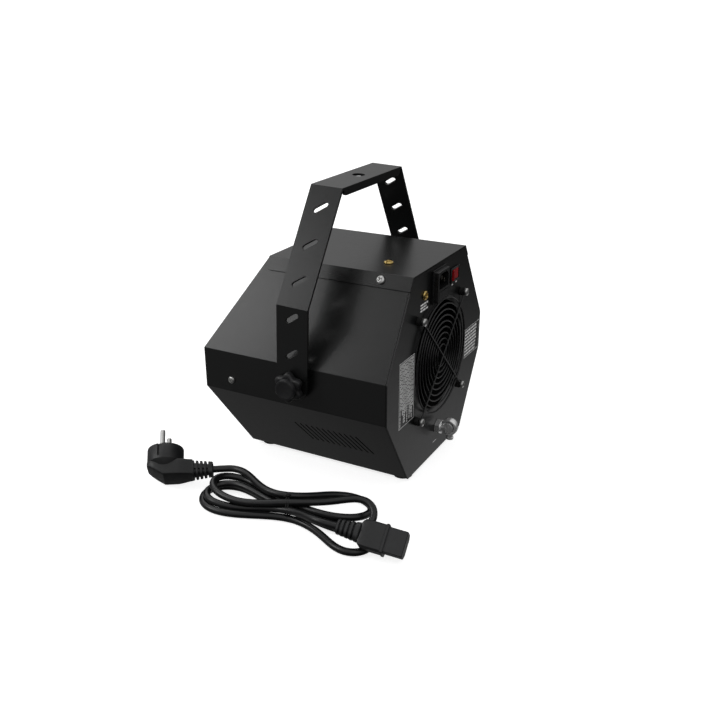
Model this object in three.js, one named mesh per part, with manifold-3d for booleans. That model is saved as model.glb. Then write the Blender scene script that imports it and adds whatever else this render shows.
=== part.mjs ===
// Tilting stage bubble machine: folded sheet-steel housing with a nose-shaped
// front, axial fan in the rear panel, bubble wheels over a fluid tray, a
// hanging bracket clamped by two star knobs, and its mains lead.
// Millimetres, +Z up, front (bubble outlet) towards -Y, fan panel towards +Y.
import * as THREE from 'three';
import { mergeVertices } from 'three/addons/utils/BufferGeometryUtils.js';
import Module from 'manifold-3d';

const wasm = await Module();
wasm.setup();

// ------------------------------------------------------------------ dimensions
const GAP = 0.3;                 // clearance between pieces that touch
const SHEET = 1.5;               // housing steel
const FOOT_H = 5;
const HB = 67.3, HS = 116.3, HT = 63.0;            // half widths: bottom, side band, top
const Z_BOT = 5, Z_BAND_LO = 84.5, Z_BAND_HI = 126.5, Z_SHELL = 213.2;
const Y_REAR = 99.5;             // outer face of the rear panel
const Y_NOSE = -106.4;           // front of the side band
const Y_FRONT_BOT = -87.3, Y_FRONT_TOP = -59.2, Y_LID_FRONT = -58.4;
const LID_T = 1.2, LID_FLANGE_Z = 202.6;
const FAN_Z = 115.9, FAN_PITCH = 52.5, FAN_SIZE = 119.5, FAN_DEPTH = 38;
const GUARD_Y = 106.4, GUARD_WIRE = 0.95;
const PIVOT_Y = 1.8, PIVOT_Z = 110, BRACKET_TILT = 2.0;
const ARM_X = 123.9, ARM_T = 2.5, ARM_W = 33.8, ARM_FOLD_Z = 188.7;
const BAR_X = 62.75, BAR_Z = 290, BAR_HOLE_R = 6.5, LIP = 8;
const SLOT_PITCH = 36.1, SLOT_HALF = 6, SLOT_R = 2.4, SLOT_ANGLE = 37;
const KNOB_R = 15.6, KNOB_T = 9, CAP_R = 10.2, CAP_T = 5;
const WHEEL_Z = 108, WHEEL_RING_R = 56, RING_OUT = 17.4, RING_IN = 14.4;
const INLET_X = 6.5, INLET_Z = 192.5, SWITCH_X = -33.5, SWITCH_Z = 192;
const INSERT_X = 38, INSERT_Z = 190, LID_INSERT_X = 32, LID_INSERT_Y = 58;
const DRAIN_X = -2.3, DRAIN_Z = 34;
const OUTLET = [[-88, 92], [88, 92], [88, 128], [56, 190], [-56, 190], [-88, 128]];   // bubble outlet, seen from the front
const LEAD_D = 7;
const Y_BACKMOST = 122.8;        // rear of the drain cock barrel
const Y_CENTRE = (Y_BACKMOST + Y_NOSE) / 2;

// ------------------------------------------------------------------ finishes
const finish = (name, color, roughness, metalness) =>
  Object.assign(new THREE.MeshStandardMaterial({ color, roughness, metalness }), { name });
const coat = () => finish('black_powder_coat', 0x232525, 0.5, 0.2);
const black = () => finish('black_plastic', 0x141415, 0.45, 0.0);
const rubber = () => finish('black_rubber', 0x18191a, 0.75, 0.0);
const steel = () => finish('zinc_steel', 0xb9bcbe, 0.3, 1.0);
const chromed = () => finish('chromed_brass', 0xd5d7d8, 0.12, 1.0);
const brass = () => finish('brass', 0xc7a85a, 0.3, 1.0);
const red = () => finish('red_plastic', 0xb31c1f, 0.3, 0.0);
const clear = () => finish('white_plastic', 0xd9dad6, 0.4, 0.0);

// ------------------------------------------------------------------ solid tools
const toSolid = (geo) => {
  let g = geo.clone();
  g.deleteAttribute('normal'); g.deleteAttribute('uv');
  g = mergeVertices(g, 1e-4);
  const src = g.index.array, keep = [];
  for (let i = 0; i < src.length; i += 3)
    if (src[i] !== src[i + 1] && src[i + 1] !== src[i + 2] && src[i] !== src[i + 2])
      keep.push(src[i], src[i + 1], src[i + 2]);
  return new wasm.Manifold(new wasm.Mesh({ numProp: 3,
    vertProperties: new Float32Array(g.attributes.position.array), triVerts: new Uint32Array(keep) }));
};
const toGeometry = (solid) => {
  const m = solid.getMesh();
  const g = new THREE.BufferGeometry();
  const pos = new Float32Array(m.vertProperties.length / m.numProp * 3);
  for (let i = 0, j = 0; i < m.vertProperties.length; i += m.numProp, j += 3) {
    pos[j] = m.vertProperties[i]; pos[j + 1] = m.vertProperties[i + 1]; pos[j + 2] = m.vertProperties[i + 2];
  }
  g.setAttribute('position', new THREE.BufferAttribute(pos, 3));
  g.setIndex(new THREE.BufferAttribute(new Uint32Array(m.triVerts), 1));
  g.computeVertexNormals();
  return g;
};
const sum = (first, ...rest) => rest.reduce((a, b) => a.add(b), first);
const minus = (first, ...rest) => rest.reduce((a, b) => a.subtract(b), first);
const common = (a, b) => a.intersect(b);

const shapeOf = (pts) => {
  const area = pts.reduce((s, p, i) => { const q = pts[(i + 1) % pts.length]; return s + p[0] * q[1] - q[0] * p[1]; }, 0);
  const p = area < 0 ? [...pts].reverse() : pts;
  return new THREE.Shape(p.map(([u, v]) => new THREE.Vector2(u, v)));
};
const along = (pts, w0, w1, basis) => {
  const g = new THREE.ExtrudeGeometry(shapeOf(pts), { depth: w1 - w0, bevelEnabled: false, steps: 1, curveSegments: 8 });
  g.translate(0, 0, w0);
  g.applyMatrix4(basis);
  return toSolid(g);
};
const B_Y = new THREE.Matrix4().makeBasis(new THREE.Vector3(1, 0, 0), new THREE.Vector3(0, 0, 1), new THREE.Vector3(0, -1, 0));
const B_X = new THREE.Matrix4().makeBasis(new THREE.Vector3(0, 1, 0), new THREE.Vector3(0, 0, 1), new THREE.Vector3(1, 0, 0));
const B_Z = new THREE.Matrix4();
const prismY = (xz, y0, y1) => along(xz, -y1, -y0, B_Y);      // outline in x,z
const prismX = (yz, x0, x1) => along(yz, x0, x1, B_X);        // outline in y,z
const prismZ = (xy, z0, z1) => along(xy, z0, z1, B_Z);        // outline in x,y
const box = (x0, x1, y0, y1, z0, z1) => {
  const g = new THREE.BoxGeometry(x1 - x0, y1 - y0, z1 - z0);
  g.translate((x0 + x1) / 2, (y0 + y1) / 2, (z0 + z1) / 2);
  return toSolid(g);
};
const circle = (cu, cv, r, n, a0 = 0) => Array.from({ length: n }, (_, i) =>
  [cu + r * Math.cos(a0 + i * 2 * Math.PI / n), cv + r * Math.sin(a0 + i * 2 * Math.PI / n)]);
const cylY = (cx, cz, r, y0, y1, n = 24) => prismY(circle(cx, cz, r, n), y0, y1);
const cylX = (cy, cz, r, x0, x1, n = 24) => prismX(circle(cy, cz, r, n), x0, x1);
const cylZ = (cx, cy, r, z0, z1, n = 24) => prismZ(circle(cx, cy, r, n), z0, z1);
const latheY = (profile, cx, cz, n = 24) => {       // profile of [radius, y], on the axis at both ends
  const g = new THREE.LatheGeometry(profile.map(([r, y]) => new THREE.Vector2(r, y)), n);
  g.translate(cx, 0, cz);
  let s = toSolid(g);
  return s;
};
const inset = (pts, d) => {                          // parallel inset of a convex outline
  const area = pts.reduce((s, p, i) => { const q = pts[(i + 1) % pts.length]; return s + p[0] * q[1] - q[0] * p[1]; }, 0);
  const p = area < 0 ? [...pts].reverse() : pts, n = p.length;
  const line = (i) => { const a = p[i], b = p[(i + 1) % n]; const l = Math.hypot(b[0] - a[0], b[1] - a[1]);
    const nx = -(b[1] - a[1]) / l, nz = (b[0] - a[0]) / l; return { nx, nz, c: nx * a[0] + nz * a[1] + d }; };
  return p.map((_, i) => { const L = line((i + n - 1) % n), M = line(i);
    const det = L.nx * M.nz - M.nx * L.nz;
    return [(L.c * M.nz - M.c * L.nz) / det, (L.nx * M.c - M.nx * L.c) / det]; });
};
const strip = (path, t) => {                         // open path given a thickness to its left
  const off = path.map((p, i) => {
    const a = path[Math.max(i - 1, 0)], b = path[Math.min(i + 1, path.length - 1)];
    const d1 = i > 0 ? unit(a, p) : unit(p, b), d2 = i < path.length - 1 ? unit(p, b) : unit(a, p);
    const n1 = [-d1[1], d1[0]], n2 = [-d2[1], d2[0]];
    const k = t / (1 + n1[0] * n2[0] + n1[1] * n2[1]);
    return [p[0] + (n1[0] + n2[0]) * k, p[1] + (n1[1] + n2[1]) * k];
  });
  return [...path, ...off.reverse()];
};
const unit = (a, b) => { const l = Math.hypot(b[0] - a[0], b[1] - a[1]); return [(b[0] - a[0]) / l, (b[1] - a[1]) / l]; };
const slotOutline = (cu, cv, half, r, angle, n = 4) => {      // rounded slot
  const a = angle * Math.PI / 180, pts = [];
  for (const s of [1, -1]) for (let i = 0; i <= n; i++) {
    const t = a + (s > 0 ? -Math.PI / 2 : Math.PI / 2) + Math.PI * i / n;
    pts.push([cu + s * half * Math.cos(a) + r * Math.cos(t), cv + s * half * Math.sin(a) + r * Math.sin(t)]);
  }
  return pts;
};
const turned = (solid, m4) => solid.transform(m4.elements);

const machine = new THREE.Group();
machine.position.set(0, -Y_CENTRE, 0);
const add = (name, solid, material, parent = machine) => {
  const mesh = new THREE.Mesh(toGeometry(solid), material);
  mesh.name = name;
  parent.add(mesh);
  return mesh;
};

// ------------------------------------------------------------------ housing
const octagon = [[HB, Z_BOT], [HS, Z_BAND_LO], [HS, Z_BAND_HI], [HT, Z_SHELL],
  [-HT, Z_SHELL], [-HS, Z_BAND_HI], [-HS, Z_BAND_LO], [-HB, Z_BOT]];
const sideProfile = [[Y_FRONT_BOT, Z_BOT - 1], [Y_REAR + 5, Z_BOT - 1], [Y_REAR + 5, 230], [Y_FRONT_TOP + 9.3, 230],
  [Y_NOSE, Z_BAND_HI], [Y_NOSE, Z_BAND_LO]];

// louvres in the lower slanted sides
const slantLow = Math.atan2(Z_BAND_LO - Z_BOT, HS - HB);
const louvre = (i, side) => {
  // slot drawn on the slanted sheet: u along Y, v down the slope from the band
  const y = -5.4 + i * 6.3, v = 45.2;
  const m = new THREE.Matrix4();
  const down = new THREE.Vector3(-side * Math.cos(slantLow), 0, -Math.sin(slantLow));
  const yy = new THREE.Vector3(0, 1, 0);
  const n = new THREE.Vector3().crossVectors(yy, down);
  m.makeBasis(yy, down, n);
  m.setPosition(side * HS, 0, Z_BAND_LO);
  const g = new THREE.ExtrudeGeometry(shapeOf(slotOutline(y, v, 14.2, 0.85, 63, 2)), { depth: 12, bevelEnabled: false, steps: 1 });
  g.translate(0, 0, -6);
  g.applyMatrix4(m);
  return toSolid(g);
};
let shell = common(prismY(octagon, Y_NOSE - 4, Y_REAR - SHEET - GAP), prismX(sideProfile, -150, 150));
shell = minus(shell, prismY(inset(octagon, SHEET), -130, 130), box(-50, 50, -130, 130, 205, 220));
for (const s of [1, -1]) {
  shell = sum(shell, cylX(PIVOT_Y, PIVOT_Z, 9, s > 0 ? HS - 8 : -HS + 1, s > 0 ? HS - 1 : -HS + 8, 6));
  shell = minus(shell, cylX(PIVOT_Y, PIVOT_Z, 4.4, s > 0 ? HS - 12 : -HS - 4, s > 0 ? HS + 4 : -HS + 12, 20),
    cylX(-74.2, 97.2, 2.0, s > 0 ? HS - 6 : -HS - 4, s > 0 ? HS + 4 : -HS + 6, 10));
  for (let i = 0; i < 12; i++) shell = shell.subtract(louvre(i, s));
}
// pilot holes for the lid screws, square to the upper slants
const slantUp = Math.atan2(Z_SHELL - Z_BAND_HI, HS - HT);
const slantScrew = (y, side, solid) => {
  const out = new THREE.Vector3(side * Math.sin(slantUp), 0, Math.cos(slantUp));
  const yy = new THREE.Vector3(0, 1, 0), u = new THREE.Vector3().crossVectors(yy, out);
  const m = new THREE.Matrix4().makeBasis(u, yy, out);
  const d = 7.2 / Math.sin(slantUp);
  m.setPosition(side * (HT + 0.84 + Math.cos(slantUp) * 7.2), y, Z_SHELL + 1.5 - Math.sin(slantUp) * 7.2);
  return turned(solid, m);
};
const LID_SCREWS = [[67.6, 1], [-25.4, 1], [67.6, -1], [-25.4, -1]];
for (const [y, s] of LID_SCREWS) shell = shell.subtract(slantScrew(y, s, cylZ(0, 0, 1.7, -12, 2, 10)));
add('housing_shell', shell, coat());

// lid: top sheet with a short flange lapping each upper slant
let lid = minus(prismY(inset(octagon, -SHEET), Y_LID_FRONT, Y_REAR), prismY(inset(octagon, -GAP), -130, 130),
  box(-150, 150, -130, 130, 0, LID_FLANGE_Z));
for (const s of [1, -1]) {                          // rounded front corner of each flange
  const c = [Y_LID_FRONT + 4, LID_FLANGE_Z + 3.6];
  const cut = [[Y_LID_FRONT - 3, LID_FLANGE_Z - 3], [c[0], LID_FLANGE_Z - 3], [c[0], LID_FLANGE_Z]];
  for (let i = 1; i <= 5; i++) { const a = -Math.PI / 2 - i * Math.PI / 10; cut.push([c[0] + 4 * Math.cos(a), c[1] + 3.6 * Math.sin(a)]); }
  cut.push([Y_LID_FRONT - 3, c[1]]);
  lid = lid.subtract(prismX(cut, s > 0 ? 55 : -80, s > 0 ? 80 : -55));
}
for (const [y, s] of LID_SCREWS) lid = lid.subtract(slantScrew(y, s, cylZ(0, 0, 2.1, -3, 3, 12)));
lid = lid.subtract(cylZ(LID_INSERT_X, LID_INSERT_Y, 3.7, 205, 220, 16));
add('lid', lid, coat());

// rear panel: flat plate with a short flange inside the shell
let rear = prismY(octagon, Y_REAR - SHEET, Y_REAR);
rear = sum(rear, minus(prismY(inset(octagon, SHEET + GAP), Y_REAR - 9, Y_REAR - 0.5),
  prismY(inset(octagon, SHEET + GAP + SHEET), Y_REAR - 12, Y_REAR + 5)));
rear = minus(rear, cylY(0, FAN_Z, 56.5, 80, 110, 36), box(INLET_X - 14, INLET_X + 14, 80, 110, INLET_Z - 15.6, INLET_Z + 15.6),
  box(SWITCH_X - 9.7, SWITCH_X + 9.7, 80, 110, SWITCH_Z - 6.7, SWITCH_Z + 6.7),
  cylY(INSERT_X, INSERT_Z, 3.7, 80, 110, 16), cylY(DRAIN_X, DRAIN_Z, 5.2, 80, 110, 18));
for (const [sx, sz] of [[1, 1], [-1, 1], [1, -1], [-1, -1]])
  rear = rear.subtract(cylY(sx * FAN_PITCH, FAN_Z + sz * FAN_PITCH, 2.4, 80, 110, 12));
add('rear_panel', rear, coat());

// front panel: three facets that close the nose, with the bubble outlet
const nose = [[Y_FRONT_BOT, Z_BOT], [Y_NOSE, Z_BAND_LO], [Y_NOSE, Z_BAND_HI], [Y_FRONT_TOP, Z_SHELL]];
let front = common(prismX(strip(nose, -SHEET), -150, 150), prismY(inset(octagon, SHEET + GAP), -130, 130));
// side tabs that lie inside the band and take the two side screws
for (const s of [1, -1]) {
  front = sum(front, box(s > 0 ? HS - SHEET - GAP - 1.5 : -HS + SHEET + GAP, s > 0 ? HS - SHEET - GAP : -HS + SHEET + GAP + 1.5,
    Y_NOSE + 1, -62, 88, 108));
  front = front.subtract(cylX(-74.2, 97.2, 1.75, s > 0 ? HS - 12 : -HS - 4, s > 0 ? HS + 4 : -HS + 12, 10));
}
front = front.subtract(prismY(OUTLET, -130, -40));
add('front_panel', front, coat());

// ------------------------------------------------------------------ feet
for (const [name, x, y] of [['foot_near_rear', 53, 87], ['foot_near_front', 53, -72], ['foot_far_rear', -53, 87], ['foot_far_front', -53, -72]])
  add(name, latheFoot(x, y), rubber());
function latheFoot(x, y) {
  const g = new THREE.LatheGeometry([[0, 0], [9.6, 0], [10.4, 0.8], [11, FOOT_H - GAP], [0, FOOT_H - GAP]].map((p) => new THREE.Vector2(...p)), 20);
  g.rotateX(Math.PI / 2); g.translate(x, y, 0);
  return toSolid(g);
}

// ------------------------------------------------------------------ screws
const panHead = (r, h, shank, len) => {            // head standing on z = 0, shank below
  const g = new THREE.LatheGeometry([[0, -len], [shank, -len], [shank, 0], [r, 0], [r, h * 0.5], [r * 0.7, h], [0, h]]
    .map((p) => new THREE.Vector2(...p)), 12);
  g.rotateX(Math.PI / 2);
  return toSolid(g);
};
LID_SCREWS.forEach(([y, s], i) => add('lid_screw_' + (i + 1), slantScrew(y, s, turned(panHead(4.1, 2.6, 1.4, 7), new THREE.Matrix4().makeTranslation(0, 0, 0.3))), steel()));
for (const s of [1, -1]) {
  const m = new THREE.Matrix4().makeRotationY(s * Math.PI / 2).setPosition(s * (HS + GAP), -74.2, 97.2);
  add('side_screw_' + (s > 0 ? 'near' : 'far'), turned(panHead(3.5, 2.2, 1.4, 7), m), steel());
}

// ------------------------------------------------------------------ fan
let fanFrame = minus(box(-FAN_SIZE / 2, FAN_SIZE / 2, Y_REAR - SHEET - GAP - FAN_DEPTH, Y_REAR - SHEET - GAP, FAN_Z - FAN_SIZE / 2, FAN_Z + FAN_SIZE / 2),
  cylY(0, FAN_Z, 57, 40, 110, 36));
const yF = Y_REAR - SHEET - GAP - FAN_DEPTH;
for (let i = 0; i < 3; i++) {
  const a = Math.PI / 2 + i * 2 * Math.PI / 3;
  const arm = turned(box(0, 58, yF, yF + 4, -2.5, 2.5), new THREE.Matrix4().makeRotationY(-a).setPosition(0, 0, FAN_Z));
  fanFrame = fanFrame.add(arm);
}
fanFrame = sum(fanFrame, cylY(0, FAN_Z, 22, yF, yF + 5, 24));
for (const [sx, sz] of [[1, 1], [-1, 1], [1, -1], [-1, -1]])
  fanFrame = fanFrame.subtract(cylY(sx * FAN_PITCH, FAN_Z + sz * FAN_PITCH, 2.4, 40, 110, 12));
add('fan_frame', fanFrame, black());

let impeller = cylY(0, FAN_Z, 21, yF + 6, yF + 33, 28);
for (let i = 0; i < 7; i++) {
  const blade = box(18, 54.5, -13, 13, -0.9, 0.9);
  const m = new THREE.Matrix4().makeRotationX(40 * Math.PI / 180)
    .premultiply(new THREE.Matrix4().makeTranslation(0, yF + 20, 0))
    .premultiply(new THREE.Matrix4().makeRotationY(i * 2 * Math.PI / 7))
    .premultiply(new THREE.Matrix4().makeTranslation(0, 0, FAN_Z));
  impeller = impeller.add(turned(blade, m));
}
impeller = common(impeller, cylY(0, FAN_Z, 54.5, yF + 5.5, yF + FAN_DEPTH - 1, 40));
add('fan_impeller', impeller, black());

// finger guard: concentric wire rings on two crossing wires that end in screw eyes
const wireRing = (R, y, seg, r = GUARD_WIRE) => {
  const g = new THREE.LatheGeometry([[R + r, y], [R, y + r], [R - r, y], [R, y - r], [R + r, y]].map((p) => new THREE.Vector2(...p)), seg);
  g.translate(0, 0, FAN_Z);
  return toSolid(g);
};
const RING_Y = GUARD_Y - 3.2;                        // rings welded under the two crossing wires
let guard = wireRing(59.9, RING_Y, 32, 1.1);
for (let i = 0; i < 8; i++) guard = guard.add(wireRing(53.5 - i * 6, RING_Y, [28, 24, 24, 20, 20, 16, 12, 8][i]));
for (const a of [45, 135]) {
  const rod = turned(box(-FAN_PITCH * Math.SQRT2 + 3.2, FAN_PITCH * Math.SQRT2 - 3.2, GUARD_Y - 2.4, GUARD_Y - 0.4, -1, 1),
    new THREE.Matrix4().makeRotationY(-a * Math.PI / 180).setPosition(0, 0, FAN_Z));
  guard = guard.add(rod);
}
for (const [sx, sz] of [[1, 1], [-1, 1], [1, -1], [-1, -1]])
  guard = guard.add(minus(cylY(sx * FAN_PITCH, FAN_Z + sz * FAN_PITCH, 4.1, GUARD_Y - 2.4, GUARD_Y - 0.4, 14),
    cylY(sx * FAN_PITCH, FAN_Z + sz * FAN_PITCH, 2.4, GUARD_Y - 6, GUARD_Y + 6, 12)));
add('fan_guard', guard, finish('black_wire', 0x101011, 0.4, 0.4));

[[1, 1], [-1, 1], [1, -1], [-1, -1]].forEach(([sx, sz], i) => {
  const cx = sx * FAN_PITCH, cz = FAN_Z + sz * FAN_PITCH;
  add('guard_spacer_' + (i + 1), minus(cylY(cx, cz, 4.3, Y_REAR + GAP, GUARD_Y - 2.4 - GAP, 16), cylY(cx, cz, 2.4, 90, 120, 12)), rubber());
  const m = new THREE.Matrix4().makeRotationX(-Math.PI / 2).setPosition(cx, GUARD_Y - 0.4 + GAP, cz);
  add('guard_screw_' + (i + 1), turned(panHead(3.9, 2.5, 1.9, 24), m), steel());
});

// ------------------------------------------------------------------ mains inlet and switch
let inlet = sum(box(INLET_X - 15.5, INLET_X + 15.5, Y_REAR + GAP, Y_REAR + 2.2, INLET_Z - 17, INLET_Z + 17),
  box(INLET_X - 13.6, INLET_X + 13.6, Y_REAR - 26, Y_REAR + 6.2, INLET_Z - 15.2, INLET_Z + 15.2));
const socket = [[-11.2, 3.3], [-11.2, -8.2], [11.2, -8.2], [11.2, 3.3], [7, 7.6], [-7, 7.6]].map(([u, v]) => [INLET_X + u, INLET_Z + 5.6 + v - 0.2]);
inlet = minus(inlet, prismY(socket, Y_REAR - 11, Y_REAR + 20),
  box(INLET_X - 11.5, INLET_X + 11.5, Y_REAR - 18, Y_REAR + 20, INLET_Z - 13.6, INLET_Z - 5));
add('power_inlet', inlet, black());
[['line', 7, -1.5], ['neutral', -7, -1.5], ['earth', 0, 2.5]].forEach(([n, dx, dz]) =>
  add('inlet_pin_' + n, box(INLET_X + dx - 1, INLET_X + dx + 1, Y_REAR - 11 + GAP, Y_REAR + 4, INLET_Z + 4.5 + dz - 2, INLET_Z + 4.5 + dz + 2), steel()));
add('fuse_drawer', minus(box(INLET_X - 11.1, INLET_X + 11.1, Y_REAR - 17, Y_REAR + 6.4, INLET_Z - 13.2, INLET_Z - 5.4),
  box(INLET_X - 8, INLET_X + 8, Y_REAR - 14, Y_REAR + 1, INLET_Z - 10.8, INLET_Z + 2)), black());

let swHouse = sum(box(SWITCH_X - 10.8, SWITCH_X + 10.8, Y_REAR + GAP, Y_REAR + 2.0, SWITCH_Z - 7.7, SWITCH_Z + 7.7),
  box(SWITCH_X - 9.3, SWITCH_X + 9.3, Y_REAR - 15, Y_REAR + 1, SWITCH_Z - 6.3, SWITCH_Z + 6.3));
swHouse = minus(swHouse, box(SWITCH_X - 8.8, SWITCH_X + 8.8, Y_REAR - 9, Y_REAR + 9, SWITCH_Z - 5.9, SWITCH_Z + 5.9));
add('power_switch_frame', swHouse, black());
const ROCK = 8;                                      // the rocker leans 8 degrees each way
const rockerOutline = [[-7.2, -5.5], [7.2, -5.5], [8.1, 2.4], [4.2, 1.3], [0, 0.9], [-4.2, 1.3], [-8.1, 2.4]];
let rocker = along(rockerOutline.map(([u, v]) => [u, v]), -5.5, 5.5,
  new THREE.Matrix4().makeBasis(new THREE.Vector3(-1, 0, 0), new THREE.Vector3(0, 1, 0), new THREE.Vector3(0, 0, -1)));
const rockerMount = new THREE.Matrix4().makeRotationZ(ROCK * Math.PI / 180).setPosition(SWITCH_X, Y_REAR + 0.2, SWITCH_Z);
add('power_switch_rocker', turned(rocker, rockerMount), red());

// ------------------------------------------------------------------ threaded inserts for a safety eye
const insertProfile = [[0, -9], [3.3, -9], [3.3, GAP], [4.8, GAP], [4.8, 1.0], [3.9, 2.0], [2.6, 2.2], [2.6, -5], [0, -5]];
{
  const g = new THREE.LatheGeometry(insertProfile.map((p) => new THREE.Vector2(...p)), 12);
  const gr = g.clone(); gr.translate(INSERT_X, Y_REAR, INSERT_Z);
  add('rear_threaded_insert', toSolid(gr), brass());
  const gl = g.clone(); gl.rotateX(Math.PI / 2); gl.translate(LID_INSERT_X, LID_INSERT_Y, Z_SHELL + SHEET);
  add('lid_threaded_insert', toSolid(gl), brass());
}

// ------------------------------------------------------------------ drain
{
  const y0 = Y_REAR + GAP, by = Y_REAR + 14.3, bz = DRAIN_Z + 2.2;
  let cock = sum(prismY(circle(DRAIN_X, DRAIN_Z, 8.1, 6), y0, Y_REAR + 5.5), cylY(DRAIN_X, DRAIN_Z, 4.9, Y_REAR - 26, y0 + 0.5, 16),
    cylY(DRAIN_X, DRAIN_Z, 5.4, Y_REAR + 5, by, 16), cylX(by, bz, 9, DRAIN_X - 7, DRAIN_X + 3.2, 20),
    cylZ(DRAIN_X - 2, by, 4, bz - 15, bz, 14));
  cock = minus(cock, cylZ(DRAIN_X - 2, by, 2.6, bz - 18, bz - 6, 12), cylX(by, bz, 5.7, DRAIN_X + 1.2, DRAIN_X + 9, 18));
  add('drain_cock', cock, chromed());
  let knob = sum(cylX(by, bz, 5.2, DRAIN_X + 1.6, DRAIN_X + 4.6, 18), box(DRAIN_X + 4.4, DRAIN_X + 5.2, by - 0.9, by + 0.9, bz - 4.4, bz + 4.4));
  add('drain_knob', knob, steel());
  add('drain_lock_nut', minus(prismY(circle(DRAIN_X, DRAIN_Z, 8.6, 6), Y_REAR - SHEET - GAP - 5, Y_REAR - SHEET - GAP), cylY(DRAIN_X, DRAIN_Z, 5.2, 50, 120, 16)), steel());
}

// ------------------------------------------------------------------ fluid tray, hose, wheel drive
const TRAY = { x: 62, y0: -80, y1: 28, z0: 7, z1: 60 };
let tray = minus(box(-TRAY.x, TRAY.x, TRAY.y0, TRAY.y1, TRAY.z0, TRAY.z1), box(-TRAY.x + 2, TRAY.x - 2, TRAY.y0 + 2, TRAY.y1 - 2, TRAY.z0 + 2, TRAY.z1 + 9));
tray = sum(tray, cylY(DRAIN_X, DRAIN_Z - 15, 5, TRAY.y1 - 1, TRAY.y1 + 12, 16));
tray = tray.subtract(cylY(DRAIN_X, DRAIN_Z - 15, 3.4, TRAY.y1 - 6, TRAY.y1 + 20, 14));
add('fluid_tray', tray, clear());
{
  const pts = [[TRAY.y1 + 12.3, DRAIN_Z - 15], [TRAY.y1 + 20, DRAIN_Z - 15], [TRAY.y1 + 28, DRAIN_Z - 9], [TRAY.y1 + 35, DRAIN_Z - 3], [TRAY.y1 + 40, DRAIN_Z], [Y_REAR - 26.3, DRAIN_Z]];
  const curve = new THREE.CatmullRomCurve3(pts.map(([y, z]) => new THREE.Vector3(DRAIN_X, y, z)));
  const g = new THREE.ExtrudeGeometry(shapeOf(circle(0, 0, 5, 8)), { extrudePath: curve, steps: 8, bevelEnabled: false });
  add('drain_hose', toSolid(g), clear());
}
let motorPlate = sum(box(-19, 19, 33.5, 35, 6.8, 136), box(-19, 19, 35, 48, 6.8, 8.3));
motorPlate = minus(motorPlate, cylY(0, WHEEL_Z, 7.4, 20, 60, 20), box(-9, 5, 30, 40, 8.3 + 3, 40));
add('motor_bracket', motorPlate, steel());
let motor = sum(cylY(0, WHEEL_Z, 24, 35.3, 56, 28), cylY(0, WHEEL_Z, 7, 30, 36, 20));
motor = motor.subtract(cylY(0, WHEEL_Z, 3.4, 20, 46, 14));
add('wheel_motor', motor, steel());
add('wheel_shaft', cylY(0, WHEEL_Z, 3, -60, 45.6, 14), steel());
const wheel = (y, phase) => {
  let w = cylY(0, WHEEL_Z, 11, y - 5, y + 5, 20);
  for (let i = 0; i < 8; i++) {
    const a = phase + i * Math.PI / 4;
    w = w.add(turned(box(9, WHEEL_RING_R - RING_IN - 1.2, y - 1.5, y + 1.5, -2, 2), new THREE.Matrix4().makeRotationY(-a).setPosition(0, 0, WHEEL_Z)));
    const cx = WHEEL_RING_R * Math.cos(a), cz = WHEEL_Z + WHEEL_RING_R * Math.sin(a);
    const g = new THREE.LatheGeometry([[RING_OUT, y - 2.5], [RING_OUT, y + 2.5], [RING_IN, y + 2.5], [RING_IN, y - 2.5], [RING_OUT, y - 2.5]].map((p) => new THREE.Vector2(...p)), 12);
    g.translate(cx, 0, cz);
    w = w.add(toSolid(g));
  }
  return w.subtract(cylY(0, WHEEL_Z, 3.3, y - 20, y + 20, 14));
};
add('bubble_wheel_front', wheel(-50, 0), finish('wheel_plastic', 0x2f8f4a, 0.35, 0));
add('bubble_wheel_rear', wheel(-24, Math.PI / 8), finish('wheel_plastic', 0x2f8f4a, 0.35, 0));

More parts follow.
